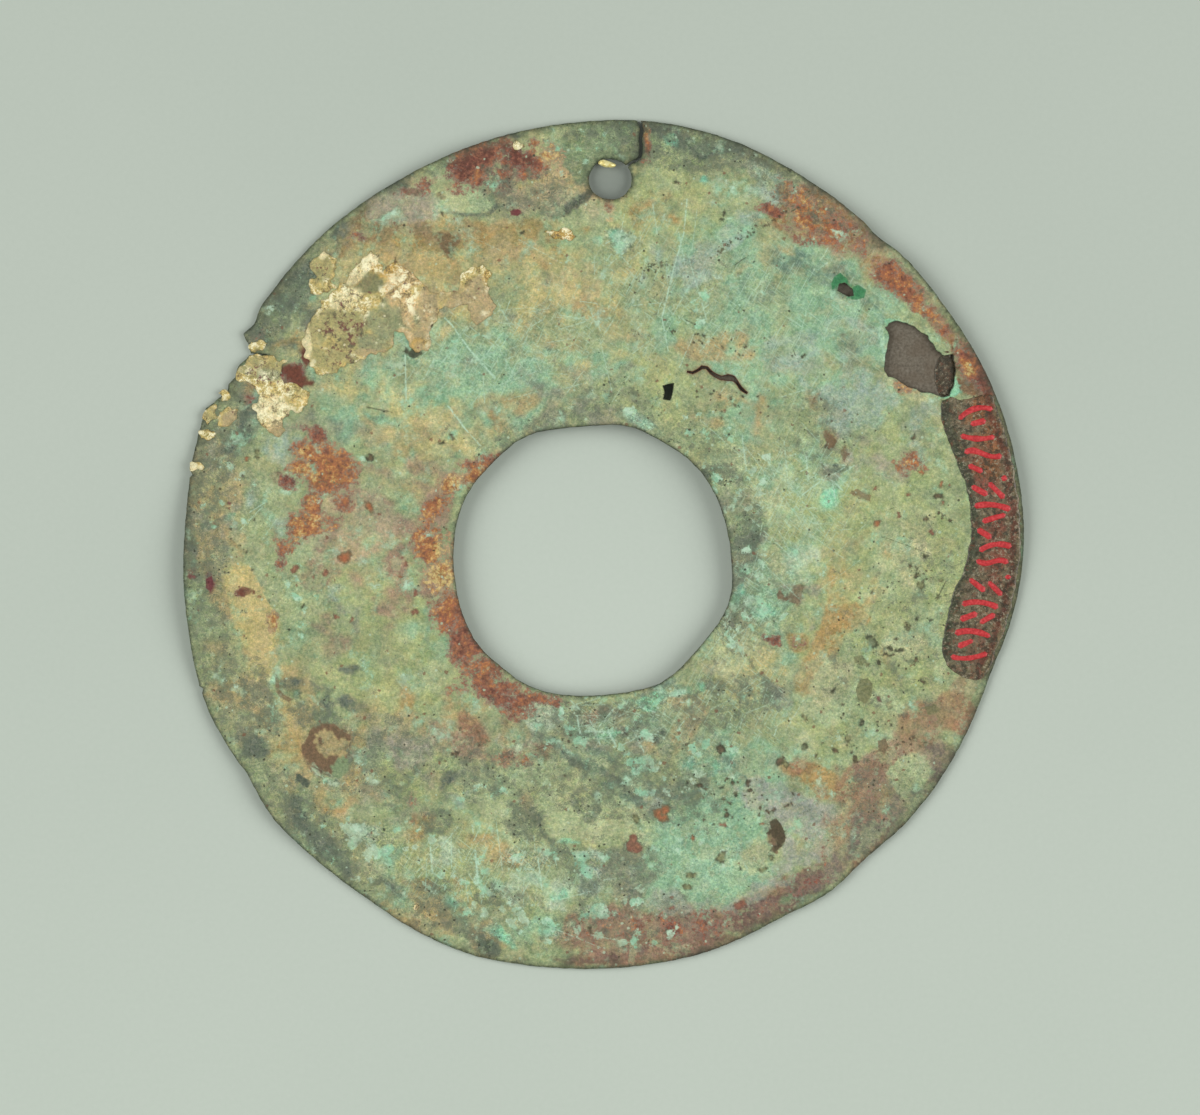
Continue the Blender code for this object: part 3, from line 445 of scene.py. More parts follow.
# Shapes with crisp edges, painted over the tones: colour, softness and raggedness of the edge in
# millimetres, cover, and the outline as across, down, across, down and so on
SHAPES = (
    ("pale", 0.3, 0.7, 0.85, (
        436, 204, 440, 196, 460, 190, 480, 190, 492, 198, 496, 206, 486, 213, 464, 213, 448, 210, 434, 214)),
    ("slate", 0.15, 0.3, 0.75, (
        496, 202, 499, 207, 489, 216, 466, 216, 448, 213, 448, 211, 464, 213, 486, 213, 495, 206)),
    ("dun", 0.5, 1.2, 0.7, (
        545, 190, 556, 170, 575, 172, 586, 184, 584, 194, 566, 204, 552, 212, 530, 212, 500, 206, 498, 186,
        515, 178, 535, 176)),
    ("thistle", 0.5, 0.9, 0.7, (
        365, 200, 372, 194, 385, 193, 400, 190, 415, 188, 430, 190, 440, 196, 440, 212, 434, 220, 420, 221,
        400, 222, 380, 222, 366, 218)),
    ("bark", 0.4, 0.6, 0.8, (
        366, 224, 380, 225, 410, 227, 436, 231, 440, 236, 420, 235, 400, 234, 378, 232, 366, 231)),
    ("peat", 0.35, 0.5, 0.85, (
        439, 232, 448, 231, 461, 232, 460, 240, 455, 250, 450, 258, 444, 256, 440, 248, 438, 240)),
    ("apricot", 0.3, 1.3, 0.8, (
        536, 158, 545, 150, 556, 148, 560, 158, 562, 172, 575, 180, 584, 186, 596, 190, 600, 200, 590, 204,
        578, 196, 565, 186, 550, 178, 538, 172)),
    ("moss", 0.2, 0.8, 0.9, (
        560, 134, 590, 124, 636, 122, 640, 154, 624, 162, 600, 160, 590, 170, 588, 186, 576, 178, 564, 158)),
    ("cream", 0.4, 1.0, 0.7, (578, 205, 590, 197, 606, 202, 614, 212, 612, 224, 598, 220, 584, 216)),
    ("terracotta", 0.6, 1.6, 0.8, (
        581, 914, 607, 906, 630, 902, 653, 914, 668, 919, 706, 921, 718, 917, 712, 938, 700, 946, 660, 958,
        620, 966, 580, 960, 562, 948, 572, 930)),
    ("plum", 0.4, 1.4, 0.75, (
        712, 919, 729, 914, 744, 906, 767, 902, 782, 887, 805, 868, 820, 864, 828, 872, 808, 898, 775, 920,
        740, 940, 704, 950, 700, 936)),
    ("cocoa", 0.8, 1.0, 0.8, (
        806, 180, 835, 193, 862, 218, 890, 250, 880, 254, 860, 240, 842, 220, 818, 200)),
    ("russet", 0.5, 1.0, 0.9, (
        764, 212, 780, 208, 790, 200, 797, 187, 812, 186, 834, 200, 850, 216, 862, 234, 858, 246, 845, 252,
        830, 246, 812, 242, 798, 236, 785, 232, 772, 226)),
    ("russet", 0.5, 1.0, 0.9, (
        868, 262, 876, 256, 890, 262, 905, 280, 920, 296, 928, 310, 915, 306, 900, 298, 888, 290, 876, 280,
        868, 272)),
    ("russet", 0.4, 0.8, 0.8, (
        926, 306, 938, 314, 950, 328, 964, 346, 956, 348, 944, 338, 932, 326, 922, 316)),
    ("cocoa", 0.5, 0.8, 0.7, (
        892, 252, 912, 274, 932, 298, 952, 324, 966, 344, 958, 340, 940, 318, 920, 294, 900, 268)),
    ("night", 0.2, 0.5, 0.8, (
        546, 221, 556, 214, 572, 203, 585, 194, 594, 187, 594, 194, 586, 202, 574, 210, 560, 219, 549, 225)),
    ("peach", 0.3, 0.6, 0.8, (606, 196, 612, 200, 615, 210, 613, 222, 607, 222, 610, 210, 606, 202)),
    ("foam", 0.3, 1.0, 0.8, (610, 232, 622, 228, 632, 232, 634, 242, 626, 250, 614, 248)),
    ("flake", 0.1, 0.35, 0.95, (
        221, 566, 226, 563, 236, 561, 250, 566, 258, 580, 265, 597, 275, 614, 280, 627, 277, 637, 272, 651,
        262, 650, 245, 648, 238, 634, 231, 614, 228, 597, 222, 580)),
    ("sand", 0.2, 0.8, 0.75, (250, 648, 272, 648, 276, 665, 272, 678, 262, 688, 253, 683, 246, 668)),
    ("sand", 0.2, 0.5, 0.6, (272, 612, 280, 622, 281, 640, 274, 650, 271, 636, 274, 626)),
    ("ash", 0.6, 1.6, 0.75, (
        592, 853, 611, 847, 634, 853, 649, 864, 657, 879, 655, 895, 645, 906, 626, 902, 607, 891, 592, 883,
        586, 868)),
    ("slate", 0.5, 1.6, 0.35, (
        610, 858, 630, 858, 648, 870, 655, 885, 648, 900, 630, 896, 614, 884, 606, 870)),
    ("mint", 0.6, 1.2, 0.7, (
        658, 819, 683, 822, 706, 811, 721, 815, 744, 822, 763, 838, 771, 860, 752, 883, 729, 902, 706, 914,
        683, 906, 668, 902, 657, 887, 658, 868, 649, 853, 653, 838)),
    ("foam", 0.8, 1.6, 0.35, (
        668, 838, 700, 826, 735, 838, 752, 860, 735, 880, 700, 892, 672, 880, 662, 860)),
    ("lilac", 0.5, 1.2, 0.8, (
        736, 781, 759, 777, 782, 781, 797, 800, 801, 819, 782, 822, 767, 819, 744, 807, 733, 796)),
    ("lilac", 0.5, 1.2, 0.75, (
        653, 887, 676, 891, 698, 902, 721, 908, 738, 900, 744, 906, 729, 914, 702, 919, 676, 917, 653, 912,
        641, 902)),
    ("lilac", 0.5, 1.2, 0.75, (
        752, 885, 774, 876, 797, 862, 816, 850, 820, 858, 800, 872, 782, 886, 765, 900, 748, 904)),
    ("cream", 0.5, 1.0, 0.6, (738, 850, 760, 842, 774, 852, 768, 868, 750, 874, 738, 866)),
    ("leek", 0.3, 0.8, 0.8, (
        554, 761, 569, 763, 580, 767, 590, 774, 592, 781, 585, 787, 576, 796, 578, 805, 581, 812, 594, 818,
        608, 821, 619, 825, 625, 834, 623, 841, 612, 845, 601, 845, 590, 843, 580, 839, 569, 841, 560, 841,
        551, 837, 543, 828, 542, 814, 543, 799, 547, 781, 549, 769)),
    ("teal", 0.3, 1.2, 0.8, (
        558, 744, 575, 750, 600, 765, 622, 783, 640, 797, 655, 803, 652, 811, 634, 805, 612, 790, 592, 775,
        570, 761, 556, 753)),
    ("tarn", 0.15, 0.7, 0.75, (
        559, 747, 562, 748, 572, 760, 587, 765, 601, 770, 612, 774, 623, 781, 627, 787, 625, 793, 620, 788,
        618, 783, 608, 778, 594, 770, 580, 769, 569, 762, 562, 752)),
    ("tarn", 0.1, 0.3, 0.7, (
        626, 788, 629, 789, 635, 797, 643, 796, 653, 791, 655, 792, 645, 798, 638, 800, 631, 796)),
    ("slate", 0.3, 1.0, 0.75, (
        527, 805, 533, 807, 539, 819, 545, 832, 552, 839, 552, 843, 543, 837, 536, 828, 531, 818)),
    ("milk", 0.2, 1.0, 0.6, (
        508, 849, 513, 848, 515, 858, 525, 860, 533, 868, 529, 871, 521, 866, 510, 860)),
    ("milk", 0.2, 1.0, 0.6, (535, 848, 543, 844, 550, 848, 549, 860, 541, 862, 539, 854)),
    ("jade", 0.15, 0.6, 0.7, (558, 841, 563, 838, 575, 839, 578, 843, 569, 844, 561, 844)),
    ("milk", 0.15, 1.0, 0.8, (
        577, 858, 579, 853, 589, 850, 600, 853, 601, 860, 593, 860, 591, 866, 599, 874, 595, 880, 589, 872,
        586, 860)),
    ("milk", 0.2, 1.0, 0.75, (582, 908, 589, 906, 601, 908, 611, 913, 609, 919, 597, 916, 587, 916)),
    ("jade", 0.2, 1.0, 0.6, (541, 921, 549, 917, 559, 923, 561, 931, 553, 937, 545, 933, 540, 929)),
    ("milk", 0.2, 1.2, 0.6, (
        348, 829, 356, 827, 367, 834, 377, 830, 382, 836, 377, 841, 367, 839, 356, 841, 349, 835)),
    ("ochre", 0.25, 0.8, 0.85, (
        822, 604, 840, 604, 860, 606, 867, 612, 852, 620, 842, 632, 830, 630, 824, 640, 818, 632, 822, 615)),
    ("ochre", 0.4, 1.0, 0.7, (
        795, 680, 804, 660, 816, 642, 830, 632, 838, 638, 830, 656, 816, 672, 806, 688, 797, 692)),
    ("slate", 0.5, 1.6, 0.65, (752, 532, 762, 534, 769, 548, 766, 566, 756, 572, 750, 556)),
    ("slate", 0.5, 1.6, 0.6, (766, 680, 776, 676, 783, 686, 781, 702, 770, 708, 764, 696)),
    ("foam", 0.3, 1.2, 0.6, (782, 552, 796, 549, 802, 562, 798, 576, 786, 574)),
    ("foam", 0.1, 0.2, 0.8, (829, 292, 834, 290, 838, 297, 846, 303, 840, 304, 831, 299)),
    ("foam", 0.15, 0.3, 0.8, (
        880, 322, 883, 330, 885, 342, 890, 356, 892, 372, 889, 372, 882, 352, 878, 334)),
    ("pale", 0.3, 1.0, 0.85, (
        889, 778, 890, 768, 900, 760, 916, 754, 928, 756, 930, 768, 928, 780, 920, 792, 906, 797, 896, 794)),
    ("heath", 0.4, 1.0, 0.7, (952, 684, 962, 678, 980, 680, 976, 694, 966, 708, 952, 706, 948, 694)),
    ("cream", 0.15, 0.3, 0.8, (885, 372, 893, 378, 912, 392, 930, 399, 928, 403, 906, 396, 888, 384)),
    ("clay", 0.2, 0.5, 0.75, (893, 380, 905, 378, 914, 388, 908, 394, 896, 388)),
    ("rust", 0.3, 0.6, 0.95, (
        949, 338, 966, 343, 976, 352, 990, 380, 1002, 408, 990, 412, 980, 398, 966, 396, 957, 392, 954, 380,
        953, 362)),
    ("jade", 0.1, 0.3, 0.8, (953, 372, 957, 380, 960, 392, 954, 397, 946, 399, 938, 399, 946, 396)),
    ("jade", 0.1, 0.4, 0.7, (
        884, 320, 893, 318, 905, 322, 915, 329, 924, 339, 929, 347, 925, 348, 915, 337, 904, 329, 893, 325,
        885, 327)),
    ("umber", 0.3, 0.6, 0.7, (
        966, 344, 990, 386, 1003, 415, 1016, 455, 1024, 510, 1026, 555, 1018, 605, 1004, 652, 990, 684, 974,
        682, 996, 600, 1003, 540, 996, 470, 980, 410, 958, 352)),
)

# Marks that lie over all else, listed like the shapes
ACCENTS = (
    ("peat", 0.12, 0.5, 0.95, (
        325, 722, 334, 724, 341, 730, 349, 735, 350, 740, 347, 749, 348, 758, 348, 768, 341, 778, 330, 776,
        321, 770, 310, 765, 307, 758, 302, 750, 301, 744, 307, 738, 310, 730, 316, 725)),
    ("tan", 0.8, 1.3, 0.75, (
        316, 741, 321, 737, 330, 738, 338, 741, 348, 748, 341, 751, 334, 754, 323, 755, 320, 750)),
    ("moss", 0.3, 0.5, 0.8, (334, 767, 341, 761, 348, 765, 348, 772, 341, 777, 335, 775)),
    ("milk", 0.12, 0.4, 0.8, (
        312, 768, 321, 776, 330, 780, 341, 783, 345, 782, 341, 787, 330, 787, 325, 780, 316, 774)),
    ("tarn", 0.08, 0.12, 0.95, (
        296, 774, 300, 774, 303, 777, 309, 780, 310, 783, 308, 788, 304, 787, 300, 783, 296, 780)),
    ("peat", 0.15, 0.4, 0.75, (
        275, 674, 278, 676, 279, 689, 283, 694, 292, 699, 289, 702, 281, 699, 275, 691)),
    ("umber", 0.1, 0.3, 0.95, (
        770, 822, 776, 818, 782, 826, 786, 838, 784, 846, 778, 849, 776, 840, 771, 836, 766, 834, 771, 829)),
    ("emerald", 0.08, 0.2, 0.95, (
        831, 284, 834, 277, 840, 273, 846, 279, 850, 285, 846, 289, 838, 286, 832, 290)),
    ("emerald", 0.08, 0.2, 0.85, (850, 288, 858, 285, 866, 290, 864, 298, 854, 300, 846, 298)),
    ("liver", 0.3, 1.2, 0.95, (
        277, 371, 285, 366, 296, 366, 306, 373, 310, 384, 305, 391, 292, 389, 282, 381)),
    ("liver", 0.3, 1.2, 0.9, (300, 346, 307, 342, 311, 352, 312, 366, 305, 366, 301, 356)),
    ("maroon", 0.12, 0.4, 0.8, (206, 579, 212, 576, 214, 584, 211, 592, 206, 588)),
    ("liver", 0.12, 0.4, 0.75, (237, 592, 243, 586, 254, 590, 250, 594, 242, 596)),
    ("peat", 0.15, 0.4, 0.85, (822, 431, 826, 428, 830, 433, 836, 442, 833, 448, 827, 444, 824, 438)),
    ("peat", 0.15, 0.4, 0.75, (841, 446, 846, 445, 848, 455, 844, 462, 840, 455)),
    ("tarn", 0.15, 0.5, 0.6, (826, 469, 835, 468, 848, 465, 849, 470, 839, 473, 830, 473)),
    ("peat", 0.15, 0.6, 0.75, (851, 493, 857, 488, 864, 494, 871, 495, 870, 501, 864, 500, 855, 498)),
    ("peat", 0.12, 0.3, 0.85, (776, 594, 781, 592, 784, 595, 783, 599, 778, 599)),
    ("peat", 0.15, 0.8, 0.7, (
        793, 586, 799, 583, 807, 586, 804, 595, 797, 604, 789, 602, 790, 596, 797, 591)),
    ("olive", 0.12, 0.3, 0.85, (860, 680, 868, 678, 873, 684, 872, 696, 866, 704, 858, 700, 856, 690)),
    ("olive", 0.12, 0.3, 0.75, (854, 657, 862, 655, 867, 661, 862, 666, 855, 663)),
    ("olive", 0.12, 0.4, 0.8, (926, 708, 934, 705, 941, 709, 938, 715, 928, 715)),
    ("peat", 0.12, 0.3, 0.8, (878, 741, 886, 739, 889, 747, 884, 753, 879, 750)),
    ("umber", 0.12, 0.2, 0.9, (853, 755, 857, 756, 859, 763, 854, 764)),
    ("liver", 0.15, 0.6, 0.6, (404, 190, 412, 188, 424, 190, 423, 196, 412, 196, 405, 194)),
    ("liver", 0.15, 0.6, 0.5, (434, 194, 440, 191, 447, 194, 445, 200, 437, 199)),
    ("maroon", 0.12, 0.4, 0.85, (510, 211, 516, 208, 522, 211, 518, 216, 511, 215)),
)

# Patches of red copper oxide: across, down, half length, half width, cover, warmth from dark red at 0
# through brick and rust to orange at 1, and the turn if there is one
OXIDE = (
    (480, 164, 36, 18, 1.0, 0.35, 22), (505, 172, 44, 18, 0.5, 0.4, 10), (425, 186, 16, 8, 0.5, 0.3, 20),
    (520, 157, 18, 10, 0.95, 0.05), (470, 168, 22, 9, 0.9, 0.02, 22), (534, 147, 6, 5, 0.8, 0.4),
    (549, 152, 13, 10, 0.75, 0.95, -10), (500, 178, 26, 8, 0.4, 0.4, 10), (612, 205, 5, 12, 0.6, 0.8),
    (646, 143, 4, 18, 0.9, 0.6, -4), (641, 162, 4, 4, 0.9, 0.4), (645, 128, 5, 8, 0.7, 0.9),
    (818, 219, 42, 18, 0.85, 0.76, -38), (790, 208, 20, 14, 0.6, 0.65, -10),
    (842, 243, 24, 10, 0.5, 0.5, -38), (768, 213, 14, 5, 0.8, 0.2, -10), (850, 225, 20, 8, 0.5, 0.4, -45),
    (800, 238, 22, 8, 0.45, 0.4, -20), (894, 276, 24, 14, 0.95, 0.44, -42),
    (915, 292, 18, 12, 0.9, 0.5, -50), (935, 318, 26, 7, 0.7, 0.55, -56),
    (972, 366, 26, 11, 1.0, 0.35, -62), (982, 388, 18, 9, 0.9, 0.12, -65),
    (968, 370, 9, 4, 0.95, 0.85, -62), (905, 382, 12, 6, 0.6, 0.8), (323, 435, 7, 10, 0.9, 0.05),
    (318, 454, 19, 13, 1.0, 0.68), (330, 474, 29, 19, 1.1, 0.6), (316, 476, 12, 18, 0.95, 0.7),
    (300, 467, 15, 9, 0.9, 0.75, 20), (286, 480, 10, 6, 0.8, 0.1), (312, 500, 11, 13, 1.0, 0.6),
    (306, 520, 18, 11, 1.0, 0.7), (330, 522, 14, 8, 0.7, 0.6), (345, 508, 12, 8, 0.7, 0.4),
    (285, 540, 11, 9, 0.8, 0.6), (286, 556, 6, 12, 0.5, 0.3), (340, 492, 20, 14, 0.4, 0.5),
    (484, 459, 26, 9, 0.8, 0.45, 14), (476, 474, 16, 12, 1.0, 0.58), (450, 484, 18, 13, 0.8, 0.85, 20),
    (430, 508, 20, 11, 0.85, 0.62, 20), (425, 542, 15, 21, 1.0, 0.62, 10), (446, 549, 10, 18, 0.5, 0.95, 8),
    (437, 576, 16, 18, 0.9, 0.9, 10), (450, 610, 18, 19, 0.95, 0.5, 14), (464, 644, 17, 20, 1.0, 0.3, 14),
    (480, 668, 24, 14, 0.85, 0.4, -45), (506, 696, 34, 14, 0.9, 0.35, -28), (540, 702, 26, 6, 0.8, 0.3, -4),
    (462, 690, 10, 14, 0.4, 0.6), (545, 700, 22, 5, 0.4, 0.4), (625, 930, 64, 22, 0.38, 0.45, 4),
    (600, 925, 30, 10, 0.4, 0.6), (760, 908, 54, 14, 0.25, 0.3, 22), (690, 932, 42, 18, 0.45, 0.3, 12),
    (806, 882, 26, 12, 0.4, 0.15, 26), (866, 800, 34, 30, 0.25, 0.5, 45), (925, 735, 34, 16, 0.22, 0.6, 45),
    (909, 465, 14, 9, 0.8, 0.55, 10), (921, 472, 5, 4, 0.7, 0.5), (290, 378, 13, 10, 0.85, 0.15, -25),
    (304, 356, 4, 10, 0.7, 0.1), (262, 330, 10, 6, 0.4, 0.4, 40), (410, 192, 14, 5, 0.6, 0.3, 10),
    (515, 754, 34, 10, 0.35, 0.6, -6), (276, 622, 4, 11, 0.8, 0.95), (244, 593, 8, 4, 0.8, 0.1, 30),
    (795, 640, 10, 8, 0.4, 0.6), (768, 642, 8, 4, 0.6, 0.2), (410, 802, 12, 12, 0.2, 0.6),
    (250, 402, 6, 8, 0.5, 0.3), (300, 430, 20, 6, 0.3, 0.2), (362, 588, 30, 10, 0.15, 0.3),
    (825, 850, 5, 18, 0.4, 0.4), (355, 238, 10, 5, 0.5, 0.2),
)

# Fine dark speckling and pale green flecks, listed like the patches above, with their density as the cover
GRIT = (
    (285, 295, 60, 26, 0.6, 50), (215, 440, 70, 30, 0.5, 70), (205, 560, 110, 26, 0.45, 90),
    (230, 700, 80, 26, 0.42, -65), (310, 830, 100, 34, 0.45, -45), (430, 910, 60, 24, 0.4, -25),
    (680, 145, 120, 24, 0.55, -8), (790, 190, 70, 24, 0.4, -35), (530, 190, 55, 28, 0.45),
    (520, 770, 90, 34, 0.37, -10), (640, 790, 90, 34, 0.43, -10), (600, 720, 90, 22, 0.42, 5),
    (610, 870, 60, 30, 0.36), (380, 760, 70, 40, 0.36), (735, 610, 20, 50, 0.45),
    (700, 460, 60, 30, 0.28, -30), (540, 435, 60, 26, 0.4, 10), (600, 400, 60, 26, 0.3),
    (930, 600, 40, 90, 0.25), (880, 800, 60, 40, 0.3, 45), (620, 925, 90, 26, 0.3, 8),
    (340, 330, 60, 40, 0.3, 40), (720, 700, 60, 30, 0.4, 20), (820, 430, 40, 40, 0.3),
    (589, 811, 9, 7, 0.95), (608, 818, 10, 3, 0.95), (578, 802, 7, 7, 0.9), (486, 952, 18, 9, 0.85, -15),
    (429, 888, 20, 12, 0.8, -20), (490, 898, 24, 11, 0.6), (524, 818, 18, 20, 0.65),
    (437, 822, 20, 12, 0.7), (562, 850, 14, 14, 0.7), (585, 885, 9, 20, 0.7), (723, 476, 20, 7, 0.95, -8),
    (753, 528, 18, 26, 0.8, -20), (750, 567, 8, 6, 0.85), (732, 626, 14, 11, 0.9), (590, 712, 40, 12, 0.6),
    (624, 790, 10, 8, 0.9), (460, 935, 40, 10, 0.6, -22), (312, 715, 30, 14, 0.6),
    (256, 700, 16, 40, 0.5, 20), (866, 670, 50, 60, 0.22),
)
FLECKS = (
    (620, 242, 17, 12, 0.7), (640, 418, 24, 9, 0.6, -10), (650, 700, 40, 12, 0.5, 12),
    (440, 870, 80, 40, 0.3, -20), (590, 862, 16, 14, 0.85), (528, 856, 30, 13, 0.75),
    (500, 905, 60, 24, 0.35, -8), (600, 912, 20, 10, 0.85), (558, 930, 22, 14, 0.75),
    (371, 840, 28, 16, 0.6, -20), (335, 779, 16, 7, 0.8, -20), (690, 760, 50, 30, 0.45),
    (636, 768, 14, 10, 0.7), (600, 735, 60, 26, 0.4), (655, 797, 24, 7, 0.6), (480, 790, 30, 12, 0.4),
    (350, 850, 40, 30, 0.35, -40), (700, 440, 50, 30, 0.35, -30), (570, 700, 20, 14, 0.3),
    (480, 350, 80, 40, 0.22, 10), (700, 855, 60, 45, 0.2), (760, 600, 40, 60, 0.4),
    (740, 480, 40, 40, 0.35), (720, 300, 60, 50, 0.2), (575, 150, 30, 30, 0.3), (305, 590, 40, 60, 0.15),
    (230, 500, 30, 40, 0.3), (640, 940, 50, 14, 0.3), (632, 893, 14, 10, 0.5), (500, 938, 22, 8, 0.4, -12),
    (640, 850, 30, 20, 0.2), (545, 716, 20, 15, 0.5), (590, 734, 22, 10, 0.6), (650, 704, 20, 12, 0.75, 20),
    (588, 854, 14, 8, 0.9), (530, 854, 24, 12, 0.6), (590, 911, 14, 6, 0.9), (570, 932, 14, 10, 0.7),
    (362, 832, 20, 9, 0.85), (758, 614, 18, 20, 0.7), (733, 632, 12, 8, 0.7),
)

# Pitted places: across, down, reach across and down, turn, and how many pits
PITTED = (
    (895, 600, 40, 60, 0, 26), (922, 573, 16, 8, 0, 16), (944, 514, 9, 9, 0, 12), (905, 655, 22, 14, 0, 12),
    (880, 740, 60, 36, 0, 40), (768, 222, 34, 4, 30, 26), (725, 247, 26, 4, 38, 20),
    (655, 266, 22, 5, 15, 20), (652, 285, 26, 18, 0, 16), (715, 340, 60, 16, -12, 34),
    (730, 405, 50, 18, -10, 26), (740, 800, 40, 30, 0, 44), (240, 560, 30, 90, 0, 26),
    (640, 400, 60, 30, 0, 12), (850, 430, 30, 40, 0, 10), (480, 760, 60, 30, 0, 12),
    (620, 740, 70, 24, 0, 20),
)

# Single spots: across, down, radius and kind; and the colours of each kind, inside and at its rim
SPOTS = (
    (369, 458, 4.4, "umber"), (257, 454, 3.6, "olive"), (442, 443, 2.2, "soot"), (452, 437, 3.2, "umber"),
    (344, 558, 7.0, "ember"), (369, 507, 4.2, "ember"), (294, 569, 3.6, "brick"), (325, 574, 4.4, "brick"),
    (313, 577, 2.0, "brick"), (337, 617, 2.6, "brick"), (352, 620, 2.6, "brick"), (192, 576, 3, "plum"),
    (406, 564, 2.4, "brick"), (401, 577, 1.8, "ember"), (416, 593, 2.6, "brick"), (415, 612, 2.8, "brick"),
    (243, 476, 1.6, "umber"), (246, 459, 2.4, "ember"), (229, 503, 1.6, "plum"), (303, 606, 2, "soot"),
    (661, 815, 6.6, "ember"), (665, 811, 4.4, "ember"), (635, 846, 7.5, "brick"), (633, 840, 5.0, "brick"),
    (723, 825, 3, "brick"), (693, 838, 2.2, "ember"), (763, 824, 2.6, "ember"), (636, 819, 3.4, "olive"),
    (672, 908, 2.8, "brick"), (590, 931, 3.2, "umber"), (740, 905, 4.6, "brick"), (744, 903, 3, "brick"),
    (722, 857, 5.2, "olive"), (689, 876, 4, "olive"), (695, 876, 2.6, "olive"), (687, 888, 4, "olive"),
    (741, 869, 1.6, "soot"), (763, 870, 3.6, "olive"), (771, 858, 2.6, "olive"), (774, 850, 3.6, "umber"),
    (793, 794, 1.6, "soot"), (787, 806, 2.2, "umber"), (792, 804, 1.6, "umber"), (774, 810, 2.2, "umber"),
    (768, 812, 1.8, "umber"), (759, 815, 2, "umber"), (729, 803, 2.4, "umber"), (727, 815, 2.2, "umber"),
    (714, 825, 1.4, "soot"), (748, 784, 3, "umber"), (750, 790, 2.4, "umber"), (733, 784, 2.4, "umber"),
    (721, 788, 1.6, "soot"), (721, 750, 4, "umber"), (781, 761, 5, "umber"), (786, 765, 3, "olive"),
    (804, 748, 3.6, "ring"), (805, 718, 3, "olive"), (816, 757, 2, "umber"), (700, 786, 2.4, "umber"),
    (941, 484, 2.4, "ember"), (938, 496, 3.6, "umber"), (943, 503, 1.8, "brick"), (909, 495, 2.2, "brick"),
    (899, 515, 2.8, "brick"), (877, 524, 3.6, "ember"), (932, 532, 2.4, "brick"), (926, 519, 2.8, "umber"),
    (921, 472, 3.4, "ember"), (875, 488, 1.8, "brick"), (836, 466, 2.4, "soot"), (914, 437, 3, "umber"),
    (926, 556, 2.6, "soot"), (938, 597, 2.2, "olive"), (941, 580, 2, "olive"), (921, 585, 3.6, "olive"),
    (916, 576, 3, "olive"), (872, 642, 5.4, "ring"), (860, 660, 3.4, "olive"), (867, 664, 2.6, "olive"),
    (834, 690, 2.2, "soot"), (879, 700, 3.2, "plum"), (890, 706, 4, "cream"), (890, 649, 3, "soot"),
    (896, 650, 2, "soot"), (901, 651, 2.6, "soot"), (879, 663, 2.4, "soot"), (890, 656, 2, "soot"),
    (917, 618, 2, "soot"), (931, 620, 1.8, "soot"), (907, 626, 3.8, "olive"), (916, 660, 2.4, "umber"),
    (923, 682, 2.2, "umber"), (862, 723, 3.2, "soot"), (836, 751, 3.4, "umber"), (855, 759, 2.8, "soot"),
    (882, 745, 3.4, "olive"), (848, 738, 3.4, "olive"), (933, 711, 2.8, "umber"), (780, 594, 3.2, "umber"),
    (786, 598, 2.4, "brick"), (797, 592, 2.4, "umber"), (770, 640, 2.2, "brick"), (779, 636, 2, "brick"),
    (803, 356, 2.2, "soot"), (827, 437, 2.8, "umber"), (828, 445, 3.4, "umber"), (677, 182, 2.2, "soot"),
    (724, 214, 2.2, "soot"), (722, 219, 1.6, "soot"), (431, 322, 3.4, "umber"), (414, 353, 4.6, "soot"),
    (419, 351, 3, "soot"), (455, 754, 3.4, "umber"), (407, 350, 3, "soot"), (523, 232, 1.8, "soot"),
    (442, 214, 2, "soot"),
)
SPOT_COLOURS = {
    "ember": ((0.36, 0.12, 0.05), (0.20, 0.12, 0.06)),
    "ring": ((0.17, 0.20, 0.11), (0.05, 0.055, 0.03)),
    "brick": ((0.28, 0.12, 0.075), (0.20, 0.09, 0.06)),
    "plum": ((0.17, 0.05, 0.06), (0.19, 0.08, 0.07)),
    "umber": ((0.13, 0.085, 0.05), (0.055, 0.05, 0.03)),
    "olive": ((0.24, 0.25, 0.12), (0.10, 0.10, 0.05)),
    "cream": ((0.38, 0.40, 0.21), (0.24, 0.25, 0.13)),
    "soot": ((0.045, 0.045, 0.028), (0.06, 0.06, 0.035)),
    "dot": ((0.09, 0.085, 0.05), (0.14, 0.14, 0.08)),
}

